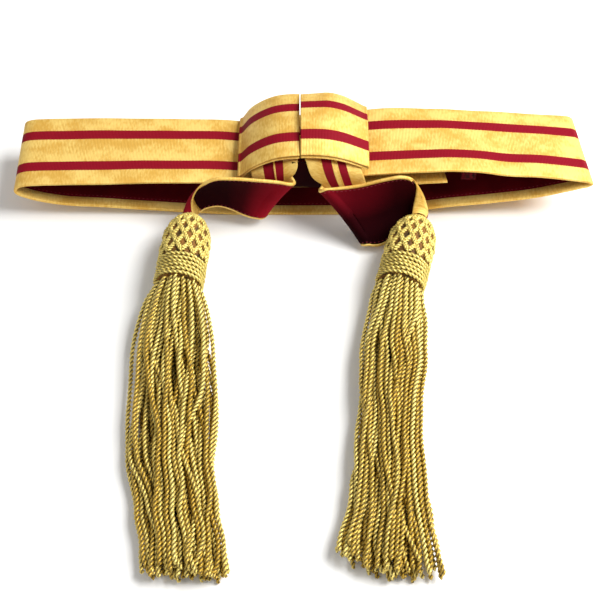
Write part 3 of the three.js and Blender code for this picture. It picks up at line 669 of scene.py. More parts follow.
def hemmed_section(hem, columns):
    """The lace folded in along both edges with round folds, which leaves a recess for the lining"""
    fold = CLOTH_DEPTH / 2
    face = [(x, 0) for x in spread(fold, LACE_WIDTH - fold, columns)]
    far = arc(LACE_WIDTH - fold, fold, fold, 0, 180, FOLD_STEPS)[1:]
    near = arc(fold, fold, fold, -180, 0, FOLD_STEPS)[:-1]
    recess = [(x, LACE_THICKNESS) for x in spread(LACE_WIDTH - hem, hem, columns)]
    corners = [*face, *far, (LACE_WIDTH - hem, CLOTH_DEPTH), *recess, (hem, CLOTH_DEPTH), *near]
    return with_places(corners, len(face))


def flat_section(edge, depth, thickness, columns):
    """A strip with round edges that ends as far from both edges of the lace"""
    half = thickness / 2
    low, high = edge + half, LACE_WIDTH - edge - half
    face = [(x, depth) for x in spread(low, high, columns)]
    far = arc(high, depth + half, half, 0, 180, EDGE_STEPS)[1:-1]
    back = [(x, depth + thickness) for x in spread(high, low, columns)]
    near = arc(low, depth + half, half, -180, 0, EDGE_STEPS)[1:-1]
    return [(*corner, corner[0]) for corner in (*face, *far, *back, *near)]


def path_length(points):
    return float(numpy.linalg.norm(numpy.diff(points, axis=0), axis=1).sum())


def new_piece(name, corners, faces, uv, finish):
    """A smooth mesh object at the origin, from corners in metres and one UV place for each face corner"""
    mesh = bpy.data.meshes.new(name)
    mesh.from_pydata(numpy.asarray(corners).tolist(), [], faces)
    layer = mesh.uv_layers.new(name="UVMap")
    layer.uv.foreach_set("vector", numpy.asarray(uv, numpy.float32).ravel())
    mesh.polygons.foreach_set("use_smooth", [True] * len(mesh.polygons))
    mesh.materials.append(finish)
    piece = bpy.data.objects.new(name, mesh)
    bpy.context.collection.objects.link(piece)
    return piece


def skin_rings(name, rings, along, across, finish, closed=False):
    """Rings of corners joined into one closed body; along and across are the places of its UV map"""
    count, size = rings.shape[:2]
    across = numpy.broadcast_to(across, (count, size))
    faces = []
    uv = []
    spans = count if closed else count - 1
    for ring in range(spans):
        after = (ring + 1) % count
        far = along[ring + 1] if ring + 1 < len(along) else along[ring]
        for i in range(size):
            j = (i + 1) % size
            faces.append((ring * size + i, after * size + i, after * size + j, ring * size + j))
            near, next_ring = across[ring], across[after]
            uv += [(along[ring], near[i]), (far, next_ring[i]), (far, next_ring[j]), (along[ring], near[j])]
    if not closed:
        faces.append(tuple(range(size)))
        uv += [(along[0], place) for place in across[0]]
        faces.append(tuple((count - 1) * size + i for i in reversed(range(size))))
        uv += [(along[-1], place) for place in reversed(across[-1])]
    corners = rings.reshape(-1, 3)
    if signed_volume(corners, faces) < 0:
        faces = [face[::-1] for face in faces]
        starts = numpy.cumsum([0, *(len(face) for face in faces)])
        uv = [place for a, b in zip(starts, starts[1:]) for place in uv[a:b][::-1]]
    return new_piece(name, corners, faces, uv, finish)


def signed_volume(corners, faces):
    quads = numpy.array([face for face in faces if len(face) == 4])
    a, b, c, d = (corners[quads[:, k]] for k in range(4))
    return float((numpy.cross(a, b) * c).sum() + (numpy.cross(a, c) * d).sum())


def weave_shift(shares, places, weaves):
    """How far the weave moves across at each place where a tail's middle is tucked under itself"""
    held = numpy.clip(shares, 0, 1)
    first, last = ((numpy.interp(held, *weave) - held)[None] * LACE_WIDTH for weave in weaves)
    change = numpy.interp(places, WEAVE_CHANGE, (0, 1))[:, None]
    return first * (1 - change) + last * change


def pleat_relief(shares, places):
    """The tucked cloth's height, which rises to the tuck's lip and drops behind it"""
    rise = numpy.interp(shares, *PLEAT_RISE)
    tightness = numpy.interp(places, PLEAT_END, (1, 0))
    return PLEAT_HEIGHT * rise[None] * tightness[:, None]


def run_along(face, places):
    """How far along a ribbon's middle each place lies"""
    middle = face(places, numpy.array([0.5]))[:, 0]
    return numpy.concatenate([[0], numpy.cumsum(numpy.linalg.norm(numpy.diff(middle, axis=0), axis=1))])


def lifted(face, places, shares, side, raised):
    """Points of a ribbon's face, each raised along its normal"""
    return face(places, shares) + face_normal(face, places, shares, side) * raised[..., None]


def cloth_piece(name, face, side, places, section, finish, height, weaves=None):
    """A ribbon of cloth along a face and its length. It is wrinkled alike through all its layers, and tucked
    if it has tucked weaves"""
    across, depths, wrapped = numpy.array(section).T
    shares = across / LACE_WIDTH
    along = run_along(face, places)
    raised = wrinkles(along, shares * LACE_WIDTH, height) - depths[None]
    if weaves:
        raised = raised + pleat_relief(shares, places)
        wrapped = wrapped + weave_shift(shares, places, weaves)
    rings = lifted(face, places, shares, side, raised) + ORIGIN
    rings[..., 2] = numpy.maximum(rings[..., 2], 0)
    return skin_rings(name, rings, along, wrapped, finish_of(finish)), float(along[-1])


def paint_light_share(piece, places, section, painted_light):
    """Stores the painted light on a lining: the share of its lit colour at each place"""
    along = numpy.interp(places, *painted_light[0])
    across = numpy.interp([corner[0] / LACE_WIDTH for corner in section], *painted_light[1])
    value = along[:, None] * across[None]
    piece.data.attributes.new("painted_light", "FLOAT", "POINT").data.foreach_set("value", value.ravel())


def drawn_width(face, places):
    """The mean width of a ribbon's face, which narrows where the cloth is drawn together"""
    lines = face(places, spread(0, 1, 16))
    return float(numpy.linalg.norm(numpy.diff(lines, axis=1), axis=-1).sum(axis=1).mean())


def declare(piece, nodes):
    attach(piece, "root")
    if nodes:
        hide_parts(*nodes)


def belt_face():
    near = [(row[0] * LOOP_HALF_LENGTH, 0, row[2] * RISE) for row in BELT_ROWS]
    far = [(row[1] * LOOP_HALF_LENGTH, LACE_WIDTH, row[3] * RISE) for row in BELT_ROWS]
    return ribbon_face(near, far, [0] * len(near), [(0, 0, 1)] * len(near))


def tail_face(rows):
    scale = numpy.array([TAIL_SPAN, TAIL_REACH, RISE])
    middle = numpy.array([BOW_CENTRE, 0, 0])
    table = numpy.array(rows, float)
    return ribbon_face(
        middle + table[:, :3] * scale, middle + table[:, 3:6] * scale, table[:, 6], table[:, 7:]
    )


def bow_face(rows, hand, crown_turn):
    """One loop, crowned across: out along the underside, round the fold and back along the top"""
    half_turn = math.radians(crown_turn / 2)
    reach = LACE_WIDTH * math.sin(half_turn) / half_turn
    table = numpy.array(rows) * (BOW_HALF_LENGTH, RISE, RISE)
    fold = [
        table[-1] + BOW_FOLD_RADIUS * numpy.array([math.cos(angle), math.sin(angle), math.sin(angle)])
        for angle in map(math.radians, BOW_FOLD_ANGLES)
    ]
    lift = numpy.array([0, BOW_LAYER_GAP / 2, BOW_LAYER_GAP / 2])
    path = numpy.vstack([table - lift, fold, (table + lift)[::-1]])
    x = BOW_CENTRE + hand * path[:, 0]
    near = numpy.column_stack([x, 0 * x, path[:, 1]])
    far = numpy.column_stack([x, 0 * x + reach, path[:, 2]])
    return ribbon_face(near, far, [crown_turn] * len(path), [(0, 0, 1)] * len(path))


def input_key(tree, name):
    """The identifier of a node group's named input"""
    return next(
        item.identifier for item in tree.interface.items_tree
        if item.item_type == "SOCKET" and item.in_out == "INPUT" and item.name == name
    )


def new_tree(name, sockets):
    """A Geometry Nodes tree with its group input and output; sockets are names and kinds of its inputs"""
    tree = bpy.data.node_groups.new(name, "GeometryNodeTree")
    tree.interface.new_socket("Geometry", in_out="OUTPUT", socket_type="NodeSocketGeometry")
    tree.interface.new_socket("Paths", in_out="INPUT", socket_type="NodeSocketGeometry")
    for socket, kind in sockets.items():
        tree.interface.new_socket(socket, in_out="INPUT", socket_type=f"NodeSocket{kind}")
    return tree, node(tree, "NodeGroupInput").outputs


def end_tree(tree, geometry, finish):
    """The tree with its output: the geometry shaded smooth, made real and given its material"""
    smooth = first_out(tree, "GeometryNodeSetShadeSmooth", {"Geometry": geometry})
    real = first_out(tree, "GeometryNodeRealizeInstances", {0: smooth})
    painted = first_out(tree, "GeometryNodeSetMaterial", {"Geometry": real, "Material": finish})
    node(tree, "NodeGroupOutput", {0: painted})
    return tree


def twist_tree():
    """Sweeps each path with a two-ply section that turns once in each lay length"""
    tree, given = new_tree(
        "two-ply twist",
        {"Lay": "Float", "Steps": "Int", "Corners": "Int", "Groove": "Float", "Hand": "Float", "Seed": "Int",
         "Finish": "Material"},
    )
    lay = given["Lay"]
    fine = first_out(
        tree, "GeometryNodeResampleCurve",
        {"Curve": given["Paths"], "Length": math_out(tree, "DIVIDE", lay, given["Steps"])}, mode="LENGTH",
    )
    length = node(tree, "GeometryNodeSplineLength").outputs["Length"]
    parameter = node(tree, "GeometryNodeSplineParameter").outputs
    turns = math_out(tree, "ROUND", math_out(tree, "DIVIDE", length, lay))
    chance = node(tree, "FunctionNodeRandomValue", {"Seed": given["Seed"]}).outputs[1]
    tone = first_out(tree, "GeometryNodeFieldOnDomain", {0: chance}, domain="CURVE")
    whole = times_plus(tree, parameter["Factor"], turns, tone)
    turn = times(tree, times(tree, whole, 2 * math.pi), given["Hand"])
    kept = node(tree, "GeometryNodeCaptureAttribute")
    for socket, value in (("Tone", tone), ("Along", parameter["Length"]), ("Radius", None)):
        kept.capture_items.new("FLOAT", socket)
        source = value or first_out(tree, "GeometryNodeInputRadius")
        tree.links.new(source, kept.inputs[socket])
    tree.links.new(fine, kept.inputs[0])
    twisted = first_out(tree, "GeometryNodeSetCurveTilt", {"Curve": kept.outputs[0], "Tilt": turn})
    ring = first_out(
        tree, "GeometryNodeCurvePrimitiveCircle", {"Resolution": given["Corners"], "Radius": 1.0}
    )
    place = first_out(tree, "GeometryNodeInputPosition")
    split = node(tree, "ShaderNodeSeparateXYZ", {0: place}).outputs
    side = times(tree, split[1], split[1])
    squeeze = math_out(tree, "SUBTRACT", 1, times(tree, side, given["Groove"]))
    lobes = first_out(tree, "ShaderNodeVectorMath", {0: place, "Scale": squeeze}, operation="SCALE")
    marked = node(tree, "GeometryNodeCaptureAttribute")
    marked.capture_items.new("FLOAT", "Side")
    tree.links.new(ring, marked.inputs[0])
    tree.links.new(side, marked.inputs["Side"])
    section = first_out(tree, "GeometryNodeSetPosition", {"Geometry": marked.outputs[0], "Position": lobes})
    sweep = {"Curve": twisted, "Profile Curve": section, "Scale": kept.outputs["Radius"], "Fill Caps": True}
    body = first_out(tree, "GeometryNodeCurveToMesh", sweep)
    for name, value in (
        ("groove", marked.outputs["Side"]), ("tone", kept.outputs["Tone"]), ("along", kept.outputs["Along"])
    ):
        body = first_out(
            tree, "GeometryNodeStoreNamedAttribute", {"Geometry": body, "Name": name, "Value": value},
            data_type="FLOAT", domain="POINT",
        )
    return end_tree(tree, body, given["Finish"])


def stitch_tree():
    """Lays a small rounded stitch along each path at every step"""
    tree, given = new_tree(
        "running stitch", {"Step": "Float", "Length": "Float", "Width": "Float", "Finish": "Material"}
    )
    spaced = first_out(
        tree, "GeometryNodeResampleCurve", {"Curve": given["Paths"], "Length": given["Step"]}, mode="LENGTH"
    )
    way = first_out(tree, "GeometryNodeInputTangent")
    turned = first_out(tree, "FunctionNodeAlignRotationToVector", {"Vector": way}, axis="X")
    halves = (times(tree, given[name], 0.5) for name in ("Length", "Width", "Width"))
    size = first_out(tree, "ShaderNodeCombineXYZ", dict(enumerate(halves)))
    bead = first_out(tree, "GeometryNodeMeshIcoSphere", {"Radius": 1.0, "Subdivisions": 1})
    laid = first_out(
        tree, "GeometryNodeInstanceOnPoints",
        {"Points": spaced, "Instance": bead, "Rotation": turned, "Scale": size},
    )
    return end_tree(tree, laid, given["Finish"])


def from_paths(name, paths, radii, tree, values, closed=False):
    """A plain mesh made by a tree from paths in the model's frame; values are the tree's named inputs"""
    curve = bpy.data.curves.new(name, "CURVE")
    curve.dimensions = "3D"
    for path, sizes in zip(paths, radii):
        spline = curve.splines.new("POLY")
        spline.points.add(len(path) - 1)
        rows = numpy.column_stack([numpy.asarray(path) + ORIGIN, numpy.ones(len(path))])
        spline.points.foreach_set("co", rows.ravel())
        spline.points.foreach_set("radius", numpy.broadcast_to(sizes, len(path)).astype(float))
        spline.use_cyclic_u = closed
    source = bpy.data.objects.new(f"{name} paths", curve)
    bpy.context.collection.objects.link(source)
    modifier = source.modifiers.new("Build", "NODES")
    modifier.node_group = tree
    for key, value in values.items():
        modifier[input_key(tree, key)] = value
    depsgraph = bpy.context.evaluated_depsgraph_get()
    mesh = bpy.data.meshes.new_from_object(source.evaluated_get(depsgraph), depsgraph=depsgraph)
    mesh.name = name
    piece = bpy.data.objects.new(name, mesh)
    bpy.context.collection.objects.link(piece)
    bpy.data.objects.remove(source)
    return piece


def stitched(name, face, side, places, hem, height):
    """The two lines of stitches that hold a lining to the hems, on the lining's own face"""
    lace = bpy.context.scene.sash_lace
    inset = (hem + STITCH_INSET) / LACE_WIDTH
    shares = numpy.array([inset, 1 - inset])
    raised = wrinkles(run_along(face, places), shares * LACE_WIDTH, height) - CLOTH_DEPTH
    lines = lifted(face, places, shares, side, raised)
    values = {
        "Step": lace.stitch, "Length": STITCH_SHARE * lace.stitch, "Width": STITCH_WIDTH,
        "Finish": finish_of("thread"),
    }
    piece = from_paths(name, [lines[:, 0], lines[:, 1]], [1, 1], stitch_tree(), values)
    declare(piece, ())
    return piece


def lined_ribbon(name, face, side, places, lined, hem, columns, painted_light, height, weaves=None):
    """A hemmed strip of lace and its length, the lining in it and its length, and their stitches"""
    lace, length = cloth_piece(
        f"{name}_lace_cloth", face, side, places, hemmed_section(hem, columns[0]), "lace", height, weaves
    )
    declare(lace, [f"{name}_lace"])
    section = flat_section(hem + CLEARANCE, LINING_DEPTH, LINING_THICKNESS, columns[1])
    lining, lined_length = cloth_piece(
        f"{name}_lining_cloth", face, side, lined, section, "lining", height, weaves
    )
    paint_light_share(lining, lined, section, painted_light)
    declare(lining, [f"{name}_lining"])
    return lace, length, lining, lined_length, stitched(f"{name}_stitches", face, side, lined, hem, height)


class SashBelt(bpy.types.Operator):
    """Belt of gold lace with its crimson lining and their stitches"""
    bl_idname = "sash.belt"
    bl_label = "Belt"

    def execute(self, context):
        places = spread(0, 1, 8 * (len(BELT_ROWS) - 1))
        lace, length, lining, _, stitches = lined_ribbon(
            "belt", belt_face(), 1, places, places, BELT_HEM, BELT_COLUMNS, BELT_PAINTED_LIGHT,
            context.scene.sash_lace.wrinkle,
        )
        return {"FINISHED"}


class SashKeeper(bpy.types.Operator):
    """Keeper tape that hangs inside the belt and holds its inner tongue"""
    bl_idname = "sash.keeper"
    bl_label = "Keeper Tape"

    def execute(self, context):
        face = belt_face()
        row = numpy.array([KEEPER_ROW / (len(BELT_ROWS) - 1)])
        edge = (BELT_HEM + CLEARANCE) / LACE_WIDTH
        near, far = face(row, numpy.array([edge, 1 - edge]))[0]
        top = min(near[2], far[2]) - CLOTH_DEPTH - 2 * CLEARANCE
        half = KEEPER_THICKNESS / 2
        inset = half + KEEPER_CORNER
        y_low, y_high, z_low, z_high = near[1] + inset, far[1] - inset, top - KEEPER_DROP + inset, top - inset
        corners = [(y_high, z_high, 0), (y_low, z_high, 90), (y_low, z_low, 180), (y_high, z_low, 270)]
        line = numpy.array([
            (y + KEEPER_CORNER * math.cos(angle), z + KEEPER_CORNER * math.sin(angle))
            for y, z, first in corners for angle in map(math.radians, first + spread(0, 90, FOLD_STEPS))
        ])
        way = unit(numpy.roll(line, -1, axis=0) - numpy.roll(line, 1, axis=0))
        out = numpy.column_stack([way[:, 1], -way[:, 0]])
        x = KEEPER_PLACE * LOOP_HALF_LENGTH
        section = [(0, -half), (0.5, -half), (1, -half), (1, half), (0.5, half), (0, half)]
        rings = numpy.array([
            [(x + share * KEEPER_WIDTH, *(spot + normal * depth)) for share, depth in section]
            for spot, normal in zip(line, out)
        ])
        length = path_length(numpy.vstack([line, line[:1]]))
        along = numpy.linspace(0, length, len(line) + 1)
        across = [share * KEEPER_WIDTH for share, _ in section]
        tape = skin_rings("belt_keeper_tape", rings + ORIGIN, along, across, finish_of("tape"), closed=True)
        declare(tape, ["belt_keeper"])
        return {"FINISHED"}


class SashBow(bpy.types.Operator):
    """The bow's two flattened loops of lace"""
    bl_idname = "sash.bow"
    bl_label = "Bow"

    def execute(self, context):
        height = 0.5 * context.scene.sash_lace.wrinkle
        for name, rows, hand, crown_turn in (
            ("bow_left_loop", LEFT_BOW_ROWS, -1, LEFT_CROWN_TURN),
            ("bow_right_loop", RIGHT_BOW_ROWS, 1, RIGHT_CROWN_TURN),
        ):
            face = bow_face(rows, hand, crown_turn)
            places = spread(0, 1, 12 * (2 * len(rows) + 2))
            section = flat_section(0, 0, LACE_THICKNESS, BOW_COLUMNS)
            loop, length = cloth_piece(f"{name}_cloth", face, hand, places, section, "lace", height)
            declare(loop, [name])
        return {"FINISHED"}


class SashShadowStrip(bpy.types.Operator):
    """Dark strip of lining cloth behind the bow, a sheet of painted shadow which closes the belt's edge
    between the two tails
    """
    bl_idname = "sash.backing"
    bl_label = "Bow Backing"

    def execute(self, context):
        across = numpy.array([-SHADOW_STRIP_WIDTH / 2, SHADOW_STRIP_WIDTH / 2]) + SHADOW_STRIP_PLACE
        near = numpy.array([(across[0], *place) for place in SHADOW_STRIP_DROP])
        far = near + [SHADOW_STRIP_WIDTH, 0, 0]
        face = ribbon_face(near, far, [0] * len(near), [(0, -1, 0)] * len(near))
        places = spread(0, 1, 24)
        section = [
            (x * LACE_WIDTH, depth, x * SHADOW_STRIP_WIDTH)
            for depth, ends in ((0, (0, 1)), (LINING_THICKNESS, (1, 0)))
            for x in spread(*ends, SHADOW_STRIP_COLUMNS)
        ]
        # The strip is lining cloth kept almost wholly in its shade colour: painted shadow between the tails
        strip, length = cloth_piece("bow_shadow_strip_cloth", face, -1, places, section, "lining", 0)
        paint_light_share(strip, places, section, SHADOW_STRIP_PAINTED_LIGHT)
        declare(strip, ())
        return {"FINISHED"}


class SashTails(bpy.types.Operator):
    """The two tails of lined lace that come out of the bow, fold over and roll into the tassels"""
    bl_idname = "sash.tails"
    bl_label = "Tails"

    def execute(self, context):
        height = 0.5 * context.scene.sash_lace.wrinkle
        for name, rows, side, weaves, painted_light in (
            ("tail_left", LEFT_TAIL_ROWS, 1, LEFT_TAIL_WEAVES, LEFT_TAIL_PAINTED_LIGHT),
            ("tail_right", RIGHT_TAIL_ROWS, -1, RIGHT_TAIL_WEAVES, RIGHT_TAIL_PAINTED_LIGHT),
        ):
            face = tail_face(rows)
            places = spread(0, 1, 8 * (len(rows) - 1))
            lined = places[places <= TAIL_LINED_SHARE]
            lace, length, lining, lined_length, stitches = lined_ribbon(
                name, face, side, places, lined, TAIL_HEM, TAIL_COLUMNS, painted_light, height, weaves
            )
            width = drawn_width(face, places)
            (drawn_width(face, lined) - 2 * TAIL_HEM) * lined_length
        return {"FINISHED"}


def top_of(rows, offset):
    """The middle of the tassel's top, off to one side of the neck of the tail that it hangs from"""
    x, inner_y, outer_y = rows[-1][0], rows[-1][1], rows[-1][4]
    return numpy.array([
        BOW_CENTRE + x * TAIL_SPAN + offset,
        min(inner_y, outer_y) * TAIL_REACH - NECK_CLEARANCE,
        HEAD_RADIUS,
    ])


def on_head(neck, turn, angle, down, radius):
    """Points round the tassel's axis, some way down from the neck"""
    x, z = radius * numpy.cos(angle), radius * numpy.sin(angle)
    down = down + 0 * x
    return neck + numpy.column_stack([
        x * math.cos(turn) + down * math.sin(turn), x * math.sin(turn) - down * math.cos(turn), z
    ])


TASSELS = {
    "tassel_left": (
        top_of(LEFT_TAIL_ROWS, -LEFT_NECK_OFFSET), LEFT_HEAD_TURN, LEFT_SKIRT_ROWS, LEFT_END_SLANT
    ),
    "tassel_right": (
        top_of(RIGHT_TAIL_ROWS, RIGHT_NECK_OFFSET), RIGHT_HEAD_TURN, RIGHT_SKIRT_ROWS, RIGHT_END_SLANT
    ),
}


def dome_radius(down):
    shares, radii = zip(*DOME_ROWS)
    return HEAD_RADIUS * numpy.interp(down / DOME_LENGTH, shares, radii)


def twist_values(lay, seed, finish):
    return {
        "Lay": lay, "Steps": 8, "Corners": 8, "Groove": 0.5, "Hand": 1.0, "Seed": seed,
        "Finish": finish_of(finish),
    }


class SashTasselHeads(bpy.types.Operator):
    """The crocheted net and the bound collar of each tassel's head, and the finish of its mould"""
    bl_idname = "sash.tassel_heads"
    bl_label = "Tassel Heads"

    def execute(self, context):
        sizes = context.scene.sash_tassel
        tree = twist_tree()
        yarn = sizes.yarn_width / 2
        wrap = sizes.wrap_width / 2
        round_angle = numpy.linspace(0, 2 * math.pi, 192, endpoint=False)
        for name, (neck, turn, _, _) in TASSELS.items():
            net = [
                on_head(neck, turn, round_angle, down, dome_radius(down) - yarn) for down in NET_TOP_RINGS
            ]
            for row in range(NET_ROWS):
                phase = NET_HOLES_ROUND * round_angle + math.pi * row + 0.5 * numpy.sin(3 * round_angle + row)
                middle = (row + NET_FIRST_ROW) * NET_ROW_HEIGHT + NET_WAVE * NET_ROW_HEIGHT * numpy.cos(phase)
                sway = NET_SWAY * yarn * numpy.sin(5 * round_angle + 2 * row)
                for offset in (-NET_PAIR * yarn, NET_PAIR * yarn):
                    down = middle + offset + sway
                    bulged = dome_radius(down) - NET_DEPTH * yarn + NET_BULGE * yarn * numpy.sin(phase + 1)
                    net.append(on_head(neck, turn, round_angle, down, bulged))
            values = twist_values(sizes.yarn_lay, sizes.seed, "yarn")
            piece = from_paths(f"{name}_net_crochet", net, [yarn] * len(net), tree, values, closed=True)
            declare(piece, [f"{name}_net"])
            step = (COLLAR_LENGTH - CLEARANCE) / COLLAR_RIBS
            rings = []
            for rib in range(COLLAR_RIBS):
                sway, bulge = (
                    WRAP_WAVER * numpy.sin(waves * round_angle + start)
                    for waves, start in ((3, 2 * rib), (7, rib))
                )
                down = DOME_LENGTH + CLEARANCE + (rib + 0.5) * step + sway
                rings.append(
                    on_head(neck, turn, round_angle, down, HEAD_RADIUS - wrap - WRAP_WAVER + bulge)
                )
            values = twist_values(sizes.wrap_lay, sizes.seed, "yarn")
            piece = from_paths(f"{name}_collar_wraps", rings, [wrap] * len(rings), tree, values, closed=True)
            declare(piece, [f"{name}_collar"])
            mould = bpy.data.objects[f"{name}_mould"]
            mould.data.materials.clear()
            mould.data.materials.append(finish_of("mould"))
        return {"FINISHED"}


def table_at(rows, places, column):
    """A table's column at some places, eased between its rows"""
    table = numpy.array(rows, float)
    after = numpy.clip(numpy.searchsorted(table[:, 0], places), 1, len(table) - 1)
    low, high = table[after - 1], table[after]
    share = numpy.clip((places - low[:, 0]) / (high[:, 0] - low[:, 0]), 0, 1)
    return low[:, column] + (high[:, column] - low[:, column]) * share * share * (3 - 2 * share)


def settle(targets, radius, lowest):
    """Pushes cords apart at each station for a fixed number of passes, so that they lie side by side, and
    keeps them above the floor.
    The places are stations, cords, and how far beside the middle and how high each cord lies."""
    places = targets.copy()
    apart = 2 * radius
    for _ in range(SETTLE_PASSES):
        gaps = places[:, :, None] - places[:, None]
        distance = numpy.linalg.norm(gaps, axis=-1) + 1e-9
        push = numpy.clip(apart - distance, 0, None) / distance
        push[:, numpy.arange(push.shape[1]), numpy.arange(push.shape[1])] = 0
        places = places + SETTLE_PUSH * (gaps * push[..., None]).sum(axis=2)
        places = places + SETTLE_RETURN * (targets - places)
        places[1:-1] += SETTLE_SMOOTHING * ((places[:-2] + places[2:]) / 2 - places[1:-1])
        places[..., 1] = numpy.maximum(places[..., 1], lowest)
    return places


def skirt_paths(neck, turn, rows, slant, count, radius, seed):
    """The cords' lines from inside the collar to their ends, settled side by side on the floor"""
    chance = numpy.random.default_rng(seed)
    stations = numpy.linspace(0, 1, SKIRT_STATIONS)
    order = numpy.arange(count) + 0.5
    reach = numpy.sqrt(order / count)
    swing = chance.normal(0, CORD_SWING, count) * stations[:, None] ** CORD_SWING_POWER
    angle = order * math.pi * (3 - math.sqrt(5)) + swing
    beside, up = reach * numpy.cos(angle), reach * numpy.sin(angle)
    width = table_at(rows, stations, 2) * SKIRT_WIDTH
    tall = table_at(rows, stations, 3) * SKIRT_HEIGHT
    drift = numpy.cumsum(chance.normal(0, 1, (len(stations), count, 2)), axis=0)
    drift = drift - drift[:1]
    kernel = numpy.hanning(DRIFT_SPAN) / numpy.hanning(DRIFT_SPAN).sum()
    drift = numpy.apply_along_axis(lambda line: numpy.convolve(line, kernel, "same"), 0, drift)
    drift = CORD_DRIFT * drift * numpy.clip(stations * 4, 0, 1)[:, None, None]
    across = beside + drift[..., 0]
    high = up + drift[..., 1]
    shrink = numpy.maximum(1, numpy.hypot(across, high))
    across, high = across / shrink, high / shrink
    targets = numpy.stack([
        across * (width / 2 - radius)[:, None],
        tall[:, None] / 2 + high * (tall / 2 - radius)[:, None],
    ], axis=-1)
    placed = settle(targets, CORD_PACKING * radius, radius)
    down = DOME_LENGTH + COLLAR_LENGTH + CLEARANCE
    top = neck + numpy.array([down * math.sin(turn), -down * math.cos(turn), 0])
    middle = top[0] + table_at(rows, stations, 1) * SKIRT_WIDTH
    eased = numpy.clip(stations / LEANING_SHARE, 0, 1)
    lean = turn * (1 - eased * eased * (3 - 2 * eased))
    trim = CORD_TRIM * chance.random(count) ** CORD_TRIM_POWER
    ends = 1 - trim - slant * numpy.clip(-across[-1], 0, 1)
    paths = []
    for cord in range(count):
        aside, height = placed[:, cord, 0], placed[:, cord, 1]
        whole = numpy.column_stack([
            middle + aside * numpy.cos(lean),
            top[1] - stations * SKIRT_LENGTH + aside * numpy.sin(lean),
            height,
        ])
        line = numpy.column_stack([numpy.interp(stations * ends[cord], stations, row) for row in whole.T])
        start = numpy.array([aside[0], 0, height[0] - HEAD_RADIUS]) * MOUTH_SQUEEZE
        inside = top + start + [0, MOUTH_DEPTH, 0]
        line = numpy.vstack([inside, line[:-1], curve_through(line[-2:], CORD_END_PLACES)])
        paths.append(curve_through(line, numpy.linspace(0, 1, 4 * len(line))))
    return paths


def rounded_end(path, radius):
    """The cord's radius along its path, which closes round its folded end"""
    left = numpy.concatenate([
        numpy.cumsum(numpy.linalg.norm(numpy.diff(path, axis=0), axis=1)[::-1])[::-1], [0]
    ])
    return radius * numpy.sqrt(numpy.clip(1 - (1 - numpy.clip(left / radius, 0, 1)) ** 2, 0.02, 1))


class SashTasselSkirts(bpy.types.Operator):
    """The twisted bullion cords of both skirts, settled on the floor"""
    bl_idname = "sash.tassel_skirts"
    bl_label = "Tassel Skirts"

    def execute(self, context):
        sizes = context.scene.sash_tassel
        tree = twist_tree()
        radius = sizes.cord_width / 2
        for place, (name, (neck, turn, rows, slant)) in enumerate(TASSELS.items()):
            paths = skirt_paths(neck, turn, rows, slant, sizes.cords, radius, sizes.seed + place)
            half = len(paths) // 2
            for part, chosen in (("inner", paths[:half]), ("outer", paths[half:])):
                values = twist_values(sizes.cord_lay, sizes.seed + place, "cord")
                radii = [rounded_end(path, radius) for path in chosen]
                piece = from_paths(f"{name}_{part}_cords", chosen, radii, tree, values)
                declare(piece, [f"{name}_skirt"])
        return {"FINISHED"}


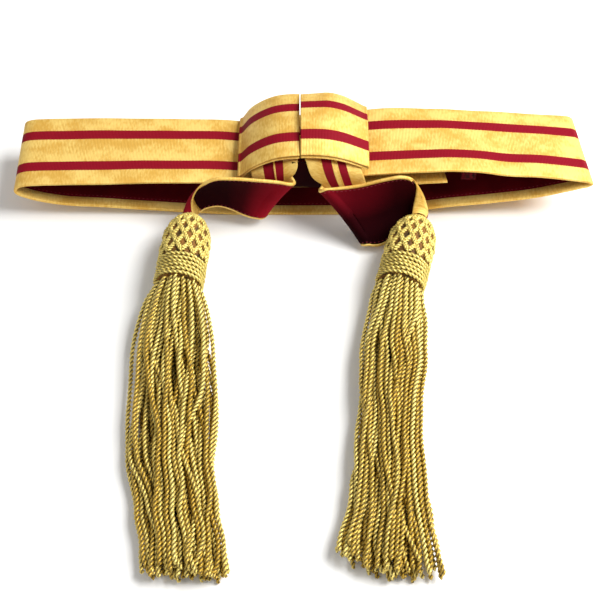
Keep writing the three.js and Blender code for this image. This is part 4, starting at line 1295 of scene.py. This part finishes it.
class SashStage(bpy.types.Operator):
    """The floor, the soft lights and the camera"""
    bl_idname = "sash.stage"
    bl_label = "Stage"

    def execute(self, context):
        scene = context.scene
        scene.view_settings.view_transform = "Standard"
        mesh = bpy.data.meshes.new("floor")
        corners = [(x * FLOOR_HALF, y * FLOOR_HALF, 0) for x, y in ((-1, -1), (1, -1), (1, 1), (-1, 1))]
        mesh.from_pydata(corners, [], [(0, 1, 2, 3)])
        mesh.materials.append(finish_of("floor"))
        floor = bpy.data.objects.new("floor", mesh)
        scene.collection.objects.link(floor)
        world = bpy.data.worlds.new("studio")
        world.use_nodes = True
        sky = world.node_tree.nodes["Background"].inputs
        sky["Color"].default_value = (1, 1, 1, 1)
        sky["Strength"].default_value = WORLD_STRENGTH
        scene.world = world
        target = Vector((BOW_CENTRE, ORIGIN[1] - AIM, 0))
        for name, place, size, power in LIGHTS:
            lamp = bpy.data.lights.new(name, "AREA")
            lamp.energy = power
            lamp.size = size
            light = bpy.data.objects.new(name, lamp)
            light.location = target + Vector(place)
            light.rotation_euler = Vector(place).to_track_quat("Z", "Y").to_euler()
            scene.collection.objects.link(light)
        camera = bpy.data.objects.new("camera", bpy.data.cameras.new("camera"))
        camera.data.lens = LENS
        camera.data.sensor_width = 36
        away = Vector((0, -math.cos(VIEW_HEIGHT), math.sin(VIEW_HEIGHT)))
        camera.location = target + away
        camera.rotation_euler = away.to_track_quat("Z", "Y").to_euler()
        scene.collection.objects.link(camera)
        scene.camera = camera
        return {"FINISHED"}


class SashPanel(bpy.types.Panel):
    """Sizes, colours and builders of the sash"""
    bl_idname = "VIEW3D_PT_sash"
    bl_label = "Waist Sash"
    bl_space_type = "VIEW_3D"
    bl_region_type = "UI"
    bl_category = "Sash"

    def draw(self, context):
        for name in SETTINGS:
            settings = getattr(context.scene, name)
            box = self.layout.box()
            for key in settings.bl_rna.properties.keys():
                if key not in {"rna_type", "name"}:
                    box.prop(settings, key)
        for operator in OPERATORS:
            self.layout.operator(operator.bl_idname)


SETTINGS = {
    "sash_lace": SashLaceSettings,
    "sash_tassel": SashTasselSettings,
    "sash_colours": SashColourSettings,
}
OPERATORS = [
    SashStage, SashBelt, SashKeeper, SashBow, SashShadowStrip, SashTails, SashTasselHeads, SashTasselSkirts,
]


def register():
    for settings in SETTINGS.values():
        bpy.utils.register_class(settings)
    for name, settings in SETTINGS.items():
        setattr(bpy.types.Scene, name, PointerProperty(type=settings))
    for made in (*OPERATORS, SashPanel):
        bpy.utils.register_class(made)


def unregister():
    for made in reversed((*OPERATORS, SashPanel)):
        bpy.utils.unregister_class(made)
    for name in SETTINGS:
        delattr(bpy.types.Scene, name)
    for settings in reversed(SETTINGS.values()):
        bpy.utils.unregister_class(settings)


def main():
    register()
    bpy.ops.sash.stage()
    bpy.ops.sash.belt()
    bpy.ops.sash.keeper()
    bpy.ops.sash.bow()
    bpy.ops.sash.backing()
    bpy.ops.sash.tails()
    bpy.ops.sash.tassel_heads()
    bpy.ops.sash.tassel_skirts()


if __name__ == "__main__":
    main()
